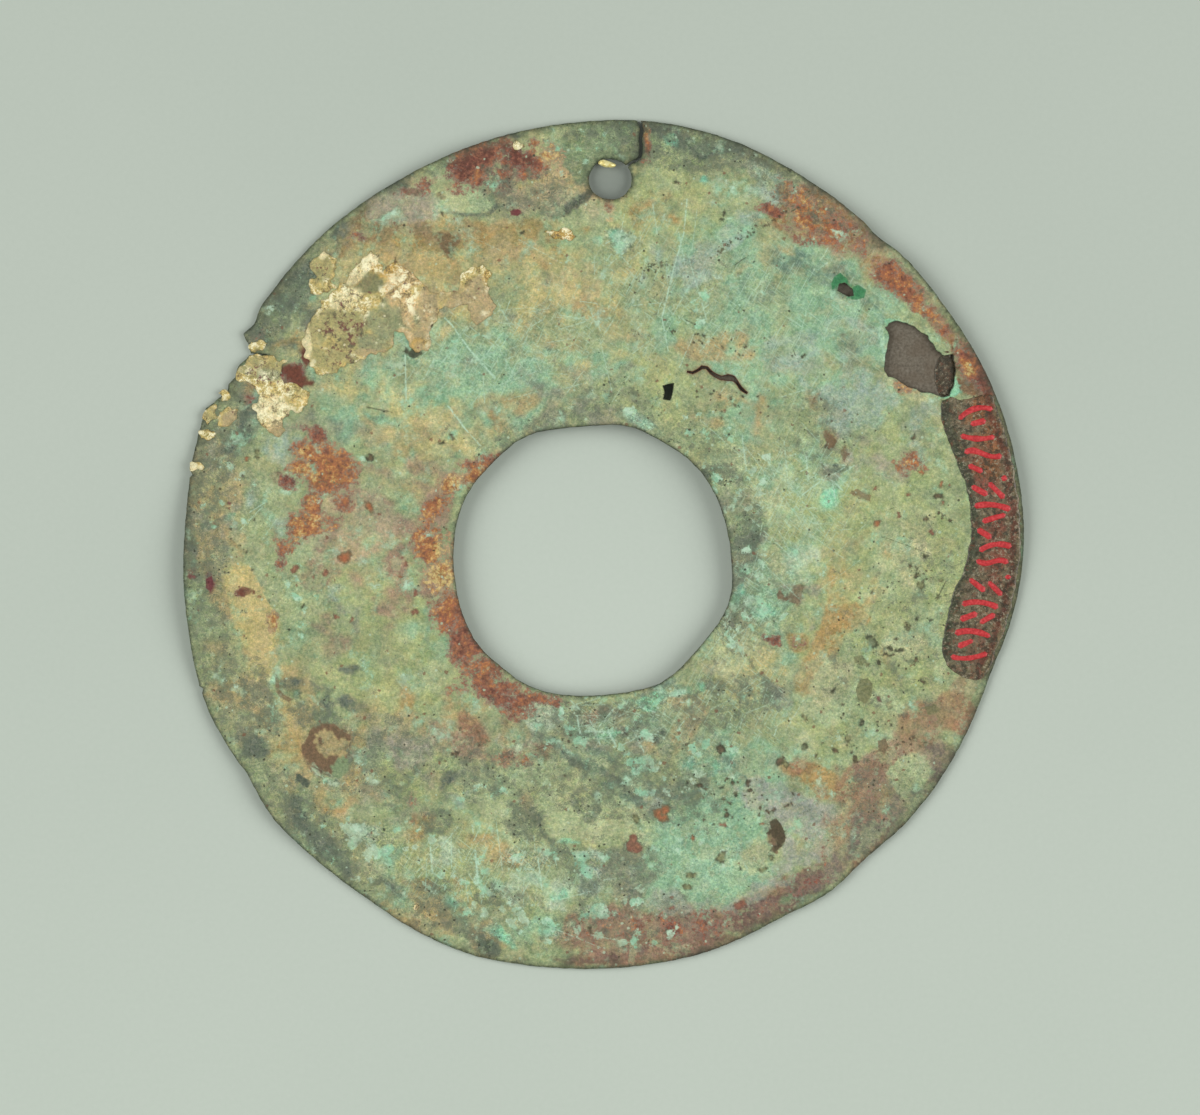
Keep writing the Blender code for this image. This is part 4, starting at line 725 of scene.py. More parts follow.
# Scratches that stand out: from across and down, to across and down, width in tenths and strength
SCRATCHES = (
    (453, 327, 470, 350, 2.0, 1.0), (470, 350, 495, 378, 2.6, 1.0), (405, 355, 406, 400, 1.8, 0.9),
    (449, 407, 466, 430, 2.2, 1.0), (466, 430, 480, 445, 1.4, 0.7), (405, 372, 392, 378, 1.2, 0.7),
    (505, 330, 480, 362, 1.4, 0.6), (497, 300, 512, 330, 1.6, 0.5), (480, 392, 535, 372, 1.2, 0.5),
    (445, 318, 452, 325, 2.2, 0.9), (500, 350, 512, 372, 1.4, 0.6), (536, 392, 505, 400, 1.2, 0.5),
    (687, 200, 684, 232, 1.6, 0.8), (684, 232, 672, 275, 1.8, 0.9), (672, 275, 662, 318, 1.8, 0.9),
    (662, 318, 668, 350, 1.4, 0.7), (653, 205, 657, 232, 1.6, 0.6), (697, 210, 692, 250, 1.2, 0.5),
    (690, 262, 706, 318, 1.4, 0.7), (630, 306, 668, 302, 1.2, 0.6), (640, 232, 640, 262, 1.0, 0.4),
    (700, 320, 680, 366, 1.2, 0.6), (740, 300, 700, 352, 1.0, 0.5), (760, 330, 716, 400, 1.0, 0.45),
    (600, 340, 612, 392, 1.2, 0.5), (560, 315, 600, 322, 1.2, 0.6), (590, 310, 600, 330, 1.4, 0.7),
    (520, 240, 560, 262, 1.4, 0.5), (470, 236, 500, 250, 1.0, 0.4), (640, 360, 612, 402, 1.0, 0.4),
    (700, 420, 756, 470, 1.2, 0.5), (740, 440, 800, 520, 1.2, 0.5), (780, 470, 830, 540, 1.2, 0.5),
    (790, 520, 846, 560, 1.0, 0.5), (800, 500, 812, 560, 1.0, 0.4), (830, 560, 870, 520, 1.0, 0.4),
    (752, 520, 790, 556, 1.4, 0.6), (820, 590, 860, 560, 1.0, 0.4), (760, 560, 800, 600, 1.2, 0.5),
    (538, 860, 542, 890, 1.6, 0.9), (534, 838, 535, 850, 1.2, 0.6), (465, 880, 468, 902, 1.4, 0.7),
    (560, 900, 590, 892, 1.2, 0.6), (500, 850, 502, 870, 1.2, 0.6), (604, 880, 622, 878, 1.2, 0.5),
    (262, 507, 240, 530, 1.2, 0.7), (276, 520, 262, 540, 1.2, 0.5), (250, 512, 264, 503, 1.4, 0.7),
    (577, 716, 580, 732, 2.2, 0.9), (586, 731, 608, 732, 2.2, 0.9), (608, 730, 616, 746, 2.6, 1.0),
    (430, 844, 432, 872, 2.0, 0.9), (475, 851, 478, 884, 2.2, 1.0), (525, 869, 534, 870, 2.0, 0.9),
    (472, 826, 473, 832, 1.8, 0.8), (784, 444, 788, 486, 1.6, 0.7), (806, 458, 808, 478, 1.8, 0.9),
    (802, 495, 822, 480, 1.8, 0.9), (832, 481, 836, 504, 1.6, 0.8), (834, 482, 842, 490, 2.2, 0.9),
    (686, 540, 692, 505, 1.2, 0.5), (742, 436, 746, 470, 2.2, 0.8), (590, 720, 600, 744, 1.6, 0.7),
    (570, 700, 582, 712, 1.6, 0.6), (700, 560, 720, 640, 1.0, 0.3), (588, 935, 640, 945, 1.2, 0.4),
    (545, 925, 600, 948, 1.2, 0.5),
)

# Places with many fine scratches: across, down, reach across and down, which way they run, and how many
SCRATCHED_ZONES = (
    (790, 320, 110, 80, 60, 24), (480, 350, 80, 50, 50, 44), (650, 290, 60, 70, 75, 36),
    (800, 490, 60, 60, -45, 34), (810, 480, 40, 30, 30, 20), (560, 340, 60, 50, 20, 24),
    (480, 870, 90, 40, 80, 26), (740, 700, 60, 60, 40, 14), (740, 610, 40, 60, 60, 20),
    (620, 720, 70, 24, 10, 20),
)

# Dark scratches: from, to and width
DARK_SCRATCHES = (
    (367, 407, 391, 412, 1.8), (938, 598, 946, 582, 1.4), (936, 598, 950, 594, 1.4),
    (664, 437, 680, 443, 1.0), (793, 350, 798, 362, 1.0), (884, 537, 936, 556, 0.8),
    (893, 508, 880, 513, 0.8), (536, 750, 552, 744, 1.2), (686, 320, 697, 326, 1.4),
    (735, 265, 748, 256, 1.4), (788, 213, 798, 208, 1.4), (646, 268, 656, 264, 1.4),
)

# The remains of gold leaf, as outlines, the largest first
LEAVES = (
    (331, 292, 349, 276, 362, 259, 371, 251, 379, 259, 382, 272, 395, 257, 405, 266, 415, 276, 425, 286,
     442, 292, 458, 292, 460, 276, 468, 269, 482, 267, 490, 274, 487, 286, 495, 305, 488, 315, 478, 327,
     470, 315, 468, 305, 455, 305, 439, 309, 434, 319, 429, 339, 427, 350, 415, 352, 407, 342, 405, 330,
     395, 332, 390, 345, 382, 352, 369, 355, 359, 362, 346, 362, 336, 373, 322, 375, 312, 369, 304, 355,
     304, 335, 312, 319, 321, 302),
    (307, 262, 318, 253, 324, 250, 330, 254, 337, 264, 335, 274, 330, 280, 336, 288, 328, 292, 319, 294,
     311, 292, 309, 284, 316, 276, 311, 268),
    (250, 341, 258, 338, 267, 343, 263, 351, 254, 353, 249, 348),
    (250, 357, 262, 354, 275, 358, 287, 360, 284, 368, 279, 375, 283, 385, 296, 384, 304, 388, 311, 391,
     306, 402, 302, 411, 291, 410, 283, 420, 284, 430, 274, 437, 263, 428, 255, 418, 253, 404, 261, 395,
     256, 384, 245, 381, 236, 379, 240, 369),
    (204, 410, 212, 404, 218, 408, 215, 418, 207, 424, 202, 418),
    (219, 412, 229, 407, 238, 410, 236, 420, 228, 427, 219, 424),
    (199, 431, 208, 429, 213, 434, 209, 440, 200, 439),
    (191, 463, 198, 461, 203, 467, 198, 471, 191, 470),
    (218, 393, 225, 391, 228, 397, 222, 401),
    (515, 143, 523, 142, 524, 146, 516, 147),
    (546, 231, 558, 229, 570, 232, 575, 236, 566, 239, 553, 236),
    (413, 905, 421, 905, 421, 908, 414, 909),
)

# Tones of the leaf, painted as on the sheet, those that are dull, and where it is pitted
LEAF_COLOURS = {
    "gold": (0.58, 0.46, 0.15),
    "white_gold": (0.76, 0.68, 0.36),
    "peach": (0.62, 0.45, 0.20),
    "orange_gold": (0.56, 0.37, 0.095),
    "dusty": (0.39, 0.36, 0.14),
    "olive": (0.20, 0.21, 0.09),
    "sage": (0.28, 0.31, 0.15),
    "tan": (0.44, 0.355, 0.175),
}
LEAF_TONES = (
    ("dusty", 0.5, (
        (335, 340, 34, 32, 0.95), (345, 322, 30, 14, 0.8), (322, 270, 13, 16, 0.85),
        (262, 366, 24, 12, 0.85), (294, 396, 12, 12, 0.5), (210, 412, 8, 8, 0.5))),
    ("sage", 0.45, (
        (420, 326, 15, 18, 0.7), (384, 318, 22, 18, 0.95), (372, 340, 20, 10, 0.7), (268, 375, 12, 8, 0.5))),
    ("olive", 0.35, ((367, 282, 16, 12, 1.0), (352, 286, 8, 7, 0.6))),
    ("tan", 0.5, (
        (450, 300, 26, 12, 0.7), (480, 305, 14, 24, 0.75), (400, 340, 14, 10, 0.5), (427, 306, 13, 24, 1.0),
        (421, 340, 15, 14, 0.9), (274, 430, 11, 9, 0.8), (228, 417, 12, 10, 0.9), (370, 352, 16, 6, 0.8))),
    ("peach", 0.5, (
        (405, 282, 16, 26, 0.8, -30), (418, 312, 16, 18, 0.7), (270, 428, 14, 10, 0.5),
        (402, 335, 10, 8, 0.5))),
    ("orange_gold", 0.4, (
        (418, 344, 11, 9, 0.95), (354, 282, 5, 10, 0.6, -40), (382, 268, 14, 10, 0.6),
        (560, 234, 16, 6, 0.8), (486, 280, 4, 8, 0.7))),
    ("white_gold", 0.5, (
        (360, 268, 22, 8, 0.9, 55), (346, 300, 18, 10, 0.8, 20), (368, 258, 10, 9, 0.8),
        (306, 345, 6, 18, 0.6), (268, 408, 20, 16, 0.85), (324, 254, 5, 5, 0.9), (197, 466, 5, 4, 0.6),
        (519, 145, 6, 4, 0.9), (417, 907, 5, 3, 0.9))),
)
DULL_LEAF = ("dusty", "sage", "olive", "tan")
LEAF_PITS = (
    (345, 330, 26, 26, 0.9), (335, 355, 20, 14, 0.7), (362, 305, 10, 20, 0.4), (405, 280, 20, 26, 0.35),
    (470, 285, 20, 14, 0.4), (262, 372, 20, 14, 0.8), (322, 270, 12, 14, 0.5), (275, 405, 26, 16, 0.3),
)

# The coat of dark lacquer along the right rim, on the backing and on the sheet, as outlines, with its tones
# and the line of its inner side, where it is darkest. Then the dabs of red paint on it, each a stroke that
# these points bend.
LACQUER_ON_BACKING = (
    943, 352, 937, 361, 934.5, 372, 935.5, 384, 940, 394, 946, 396, 951, 390, 954, 380, 954.5, 366, 952,
    355, 948, 351,
)
LACQUER = (
    941, 400, 941, 412, 943, 425, 948, 440, 953, 452, 959, 468, 965, 482, 969, 498, 971, 519, 972, 534, 969,
    549, 963, 571, 954, 592, 949, 613, 944, 637, 942.5, 652, 947, 666, 957, 674, 970, 679, 982, 680, 988,
    673, 997.5, 650, 1007.5, 622, 1014.5, 596, 1018.5, 569.5, 1020.5, 552, 1020.5, 522.5, 1019.5, 508.5,
    1015.5, 480, 1009.5, 451.5, 999.5, 414.5, 993, 396, 984, 394, 972, 398, 958, 399, 950, 397,
)
LACQUER_COLOURS = {
    "coat": (0.15, 0.125, 0.072),
    "green_black": (0.045, 0.058, 0.03),
    "red_brown": (0.105, 0.035, 0.02),
    "olive": (0.155, 0.125, 0.065),
    "rust": (0.22, 0.10, 0.04),
    "wine": (0.19, 0.07, 0.042),
    "oval": (0.07, 0.052, 0.03),
    "pale": (0.36, 0.33, 0.22),
    "red": (0.20, 0.06, 0.03),
    "dark": (0.035, 0.032, 0.018),
}
LACQUER_TONES = (
    ("wine", 0.8, ((985, 470, 14, 30, 0.7, 12), (994, 545, 14, 40, 0.7), (978, 640, 14, 26, 0.5, -16))),
    ("rust", 0.7, ((984, 404, 14, 12, 0.8, 20), (996, 424, 6, 18, 0.5, 14), (984, 446, 16, 40, 0.8, 14))),
)
LACQUER_SIDE = (
    941, 400, 943, 425, 953, 452, 965, 482, 971, 519, 969, 549, 954, 592, 944, 637, 943, 655,
)
DABS = (
    (960, 418, 974, 404, 991, 409), (972, 424, 984, 421), (962, 436, 978, 441, 993, 437),
    (966, 452, 976, 446, 986, 460, 1000, 456), (970, 466, 981, 471), (1003, 478, 1005.5, 478.5),
    (973, 487, 986, 494), (990, 484, 1003, 497), (976, 506, 992, 502, 1009, 509), (984, 521, 1004, 515),
    (979, 530, 990, 537), (981, 550, 994, 541, 1010, 546), (978, 561, 990, 568, 996, 556, 1007, 562),
    (1007, 577, 1009.5, 577), (971, 580, 984, 590), (990, 583, 1001, 594), (964, 604, 980, 599, 997, 607),
    (962, 619, 976, 614), (982, 622, 994, 615), (957, 633, 972, 628, 989, 636), (960, 646, 972, 641),
    (953, 657, 968, 661, 986, 654),
)

# The middles of the large loss and of the crack, and the stretch of rim that stays bright
LOSS_MIDDLE = (917, 360)
CRACK_MIDDLE = (718, 374)
BRIGHT_RIM = (255, 790)


def rotation(turn):
    c, s = math.cos(turn), math.sin(turn)
    return np.array(((c, -s), (s, c)))


def place(points):
    # From tenths across and down, as pairs or as one flat row, to millimetres in the frame
    points = np.reshape(np.asarray(points, float), (-1, 2))
    return np.column_stack((CORNER[0] + points[:, 0] * TENTH, CORNER[1] - points[:, 1] * TENTH))


def length_of(ways):
    return np.hypot(*ways.T)


def step_up(value, low, high):
    share = np.clip((value - low) / (high - low), 0, 1)
    return share * share * (3 - 2 * share)


def lattice(cell, seed):
    # A fixed random number from 0 to 1 for each cell corner
    mixed = np.sin(cell[:, 0] * 127.1 + cell[:, 1] * 311.7 + seed * 74.7) * 43758.5453
    return mixed - np.floor(mixed)


def cloud(points, size, seed, octaves=3):
    # Soft random blotches of about that size, from 0 to 1 around one half
    total = np.zeros(len(points))
    weight = 0.0
    for octave in range(octaves):
        spot = points @ rotation(0.7 + 1.1 * octave) * (2 ** octave / size) + 13.7 * (octave + 1)
        corner = np.floor(spot)
        part = spot - corner
        part = part * part * (3 - 2 * part)
        a, b, c, d = (lattice(corner + step, seed + octave) for step in ((0, 0), (1, 0), (0, 1), (1, 1)))
        low = a + (b - a) * part[:, 0]
        high = c + (d - c) * part[:, 0]
        total += (low + (high - low) * part[:, 1]) / 2 ** octave
        weight += 1 / 2 ** octave
    return np.clip(0.5 + (total / weight - 0.5) * 1.5, 0, 1)


def waver(points, seed=3):
    # Moves points about, so that patches painted through it get uneven edges
    x, y = (cloud(points, 4.5, seed + more, 4) - 0.5 for more in (0, 20))
    return points + np.column_stack((x, y)) * 1.6


def patch(points, spot, soft):
    # The share of a patch at each point: its full cover in the middle, falling to zero across its soft edge
    x, y, half_length, half_width, cover, *turn = spot
    made = np.zeros(len(points))
    middle = place((x, y))[0]
    reach = max(half_length, half_width) * TENTH * (1 + soft * PATCH_EDGE)
    near = np.flatnonzero(np.abs(points - middle).max(1) < reach)
    away = (points[near] - middle) @ rotation(math.radians(turn[0] if turn else 0))
    part = np.hypot(away[:, 0] / (half_length * TENTH), away[:, 1] / (half_width * TENTH))
    made[near] = (1 - step_up(part, 1 - soft * PATCH_EDGE, 1 + soft * PATCH_EDGE)) * cover
    return made


def density(points, patches, soft=0.6):
    # The densest of the patches at each point
    return np.max([patch(points, spot, soft) for spot in patches], axis=0)


def blend(under, share, colour):
    # A colour laid over the one under it, by a share for each point
    return under + share[:, None] * (np.array(colour) - under)


def paint(points, base, layers, colours):
    # Lays the patches of each layer over the base, each with an uneven edge and gaps where it is thin
    made = np.tile(np.array(base, float), (len(points), 1))
    for number, (name, soft, patches) in enumerate(layers):
        wide, fine = cloud(points, 3.6, 200 + 7 * number, 5), cloud(points, 1.3, 203 + 7 * number, 4)
        grain = (wide + fine - 1) * PATCH_GRAIN
        for spot in patches:
            share = patch(points, spot, soft)
            held = share > 0
            share[held] = step_up(share[held] + grain[held] * (1 - (1 - share[held]) ** 6), 0.18, 0.78)
            made = blend(made, share * PATCH_COVER, colours[name])
    return made


def bump(away, reach):
    # One in the middle, falling smoothly to zero at that reach
    return np.where(away < reach, np.cos(np.minimum(away / reach, 1) * math.pi / 2) ** 2, 0)


def beside(points, start, end):
    # How far along a line each point lies, as a share of it, and how far away from it
    along = end - start
    share = np.clip((points - start) @ along / (along @ along), 0, 1)
    return share, length_of(points - start - share[:, None] * along)


def lift(points):
    # The height of the sheet's underside
    off_opening = np.maximum(0, length_of(points - OPENING) - OPENING_RADIUS)
    rise = OPENING_RISE * bump(off_opening, OPENING_REACH)
    for x, y, reach, height in SWELLS:
        rise += height * bump(length_of(points - (x, y)), reach)
    share, away = beside(points, *np.array(CREASE))
    return rise + CREASE_RISE * bump(away, CREASE_HALF_WIDTH)


def relief(points):
    # Hammer marks, and the uneven crust over them
    hammer = (cloud(points, 8.0, 40, 2) - 0.5) * 0.14 + (cloud(points, 3.2, 44, 2) - 0.5) * 0.05
    rough = (cloud(points, 1.1, 48, 3) - 0.5) * 0.03
    crust = density(waver(points), FLECKS) * (cloud(points, 0.9, 52, 2) - 0.3) * 0.07
    return hammer + rough + crust


def front(points):
    return lift(points) + SHEET + relief(points)


def counter_clockwise(loop):
    area = np.sum(loop[:, 0] * np.roll(loop[:, 1], -1) - np.roll(loop[:, 0], -1) * loop[:, 1])
    return loop if area > 0 else loop[::-1]


def smooth_loop(loop, step):
    # A closed curve through the loop's corners, which keeps its sharp ones, with points a step apart
    ahead = np.roll(loop, -1, 0) - loop
    length = length_of(ahead)
    way = ahead / length[:, None]
    before = np.roll(way, 1, 0)
    sharp = (way * before).sum(1) < math.cos(math.radians(SHARP_TURN))
    mean = way + before
    mean /= np.maximum(length_of(mean), 1e-9)[:, None]
    made = []
    for i in range(len(loop)):
        j = (i + 1) % len(loop)
        a, b = loop[i], loop[j]
        leave = (way[i] if sharp[i] else mean[i]) * length[i]
        arrive = (way[i] if sharp[j] else mean[j]) * length[i]
        count = max(1, round(length[i] / step))
        for k in range(count):
            t = k / count
            rest = 1 - t
            point = (a * (1 + 2 * t) + leave * t) * rest * rest + (b * (3 - 2 * t) - arrive * rest) * t * t
            if not made or length_of(point - made[-1]) > 0.3 * step:
                made.append(point)
    if length_of(made[0] - made[-1]) < 0.3 * step:
        made.pop()
    return np.array(made)


def drawn_loop(outline, step):
    return smooth_loop(counter_clockwise(place(outline)), step)


def inwards(loop):
    # The way from each point of a loop into the sheet, which lies on its left
    way = np.roll(loop, -1, 0) - np.roll(loop, 1, 0)
    way /= np.maximum(length_of(way), 1e-9)[:, None]
    return np.column_stack((-way[:, 1], way[:, 0]))


def ragged(loop, amount, seed=60):
    out = (cloud(loop, 1.3, seed, 2) - 0.5) * 0.6 + (cloud(loop, 0.5, seed + 5, 1) - 0.5)
    return loop + inwards(loop) * out[:, None] * amount


def sheet_outlines(name):
    # The outlines of a thin solid in millimetres, as loops with the sheet on their left
    shape = bmesh.new()
    shape.from_mesh(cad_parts[name].data)
    bmesh.ops.remove_doubles(shape, verts=shape.verts, dist=0.001 * MM)
    shape.verts.index_update()
    following = {}
    for face in shape.faces:
        if face.normal.z > 0.7:
            for corner in face.loops:
                if corner.link_loop_radial_next.face.normal.z < 0.7:
                    following[corner.vert.index] = corner.link_loop_next.vert.index
    spots = [np.array(vert.co.xy) / MM for vert in shape.verts]
    shape.free()
    loops = []
    while following:
        start, index = following.popitem()
        loop = [start]
        while index != start:
            loop.append(index)
            index = following.pop(index)
        loops.append(np.array([spots[i] for i in loop]))
    return sorted(loops, key=len, reverse=True)


def loop_at(loops, middle):
    # The loop around a place that is given in tenths
    return min(loops, key=lambda loop: length_of(loop.mean(0) - place(middle)[0]))


def crossings(loops, y):
    # Where a level line crosses the loops, from left to right
    found = []
    for loop in loops:
        after = np.roll(loop, -1, 0)
        cut = (loop[:, 1] <= y) != (after[:, 1] <= y)
        a, b = loop[cut], after[cut]
        found.append(a[:, 0] + (y - a[:, 1]) / (b[:, 1] - a[:, 1]) * (b[:, 0] - a[:, 0]))
    return np.sort(np.concatenate(found))


def inside(points, loops):
    # Which points lie inside the outer loop and outside the holes, worked out some thousands at a time
    made = np.zeros(len(points), bool)
    for loop in loops:
        after = np.roll(loop, -1, 0)
        for part in range(0, len(points), 4000):
            x, y = points[part:part + 4000].T[:, :, None]
            cut = (loop[:, 1] <= y) != (after[:, 1] <= y)
            rise = after[:, 1] - loop[:, 1]
            rise[rise == 0] = 1
            across = loop[:, 0] + (y - loop[:, 1]) / rise * (after[:, 0] - loop[:, 0])
            made[part:part + 4000] ^= (np.sum(cut & (across > x), axis=1) % 2).astype(bool)
    return made


def distance_to(target, points):
    # How far each point lies from the nearest point of the target
    tree = kdtree.KDTree(len(target))
    for i, (x, y) in enumerate(target):
        tree.insert((x, y, 0), i)
    tree.balance()
    return np.array([tree.find((x, y, 0))[2] for x, y in points])


def honeycomb(loops, spacing):
    # Points inside the loops in a honeycomb, a little out of line
    low = np.vstack(loops).min(0)
    high = np.vstack(loops).max(0)
    height = spacing * math.sqrt(0.75)
    dice = np.random.default_rng(5)
    made = []
    for row in range(int((high[1] - low[1]) / height)):
        y = low[1] + (row + 0.5) * height
        x = np.arange(low[0] + spacing * (row % 2) / 2, high[0], spacing)
        x = x[np.searchsorted(crossings(loops, y), x) % 2 == 1]
        made.append(np.column_stack((x, np.full(len(x), y))))
    made = np.vstack(made)
    return made + dice.uniform(-0.12, 0.12, made.shape) * spacing


def flat_net(loops, spacing, marks=None):
    # Triangles that fill the loops evenly, with extra points at the marks. Returns points, triangles and
    # the loops as numbers of points.
    rim = np.vstack(loops)
    grid = honeycomb(loops, spacing)
    grid = grid[distance_to(rim, grid) > 0.55 * spacing]
    if marks is not None:
        grid = grid[distance_to(marks, grid) > 0.4 * spacing]
        grid = np.vstack((grid, marks))
    numbered, first = [], 0
    for loop in loops:
        numbered.append(list(range(first, first + len(loop))))
        first += len(loop)
    edges = [edge for loop in numbered for edge in zip(loop, loop[1:] + loop[:1])]
    points = [Vector(p) for p in np.vstack((rim, grid))]
    corners, _, faces, came, _, _ = delaunay_2d_cdt(points, edges, [], 1, 1e-6)
    now = {old: i for i, olds in enumerate(came) for old in olds}
    corners = np.array([tuple(p) for p in corners])
    faces = np.array([f for f in faces if len(f) == 3])
    on_rim = np.zeros(len(corners), bool)
    on_rim[[now[i] for i in range(len(rim))]] = True
    doubtful = on_rim[faces].all(1)
    keep = np.ones(len(faces), bool)
    keep[doubtful] = inside(corners[faces[doubtful]].mean(1), loops)
    faces = faces[keep]
    a, b, c = (corners[faces[:, i]] for i in range(3))
    area = (b - a)[:, 0] * (c - a)[:, 1] - (b - a)[:, 1] * (c - a)[:, 0]
    faces[area < 0] = faces[area < 0][:, ::-1]
    return corners, faces[np.abs(area) > 1e-9], [[now[i] for i in loop] for loop in numbered]


def new_object(name, points, faces):
    mesh = bpy.data.meshes.new(name)
    mesh.from_pydata((points * MM).tolist(), [], faces)
    mesh.validate()
    mesh.shade_smooth()
    made = bpy.data.objects.new(name, mesh)
    bpy.context.scene.collection.objects.link(made)
    return made


def thin_solid(name, loops, spacing, top, bottom, rows, back_spacing, marks=None):
    # A closed thin body over the loops, between two height functions, with its edge rounded by the rows.
    # Returns the object and whether each point is on the front, the edge or the back.
    inset = [loop + inwards(loop) * rows[0][0] for loop in loops]
    high, high_faces, high_loops = flat_net(inset, spacing, marks)
    low, low_faces, low_loops = flat_net(inset, back_spacing)
    flat, height, kind = [high], [top(high)], [np.full(len(high), FRONT)]
    rings = [[] for loop in loops]
    first = len(high)
    for way, share in rows[1:-1]:
        for number, loop in enumerate(loops):
            ring = loop + inwards(loop) * way
            base = bottom(ring)
            flat.append(ring)
            height.append(base + share * (top(ring) - base))
            kind.append(np.full(len(ring), EDGE))
            rings[number].append([first + i for i in range(len(ring))])
            first += len(ring)
    flat.append(low)
    height.append(bottom(low))
    kind.append(np.full(len(low), BACK))
    faces = high_faces.tolist() + (low_faces[:, ::-1] + first).tolist()
    for number, loop in enumerate(loops):
        levels = [high_loops[number], *rings[number], [first + i for i in low_loops[number]]]
        for upper, lower in zip(levels, levels[1:]):
            for i in range(len(loop)):
                j = (i + 1) % len(loop)
                faces.append((upper[i], lower[i], lower[j], upper[j]))
    points = np.column_stack((np.vstack(flat), np.concatenate(height)))
    return new_object(name, points, faces), np.concatenate(kind)


def give(piece, name, values):
    # Stores one number or one colour for each point
    values = np.asarray(values, float)
    if values.ndim == 1:
        held = piece.data.attributes.new(name, "FLOAT", "POINT")
        held.data.foreach_set("value", values.astype(np.float32))
    else:
        held = piece.data.attributes.new(name, "FLOAT_COLOR", "POINT")
        full = np.column_stack((values, np.ones(len(values)))).astype(np.float32)
        held.data.foreach_set("color", full.ravel())


def points_of(piece):
    points = np.zeros(len(piece.data.vertices) * 3)
    piece.data.vertices.foreach_get("co", points)
    return points.reshape(-1, 3) / MM


def move_points(piece, points):
    piece.data.vertices.foreach_set("co", (points * MM).ravel())
    piece.data.update()


def join(pieces, name):
    bpy.ops.object.select_all(action="DESELECT")
    for piece in pieces:
        piece.select_set(True)
    bpy.context.view_layer.objects.active = pieces[0]
    bpy.ops.object.join()
    pieces[0].name = name
    pieces[0].data.name = name
    return pieces[0]


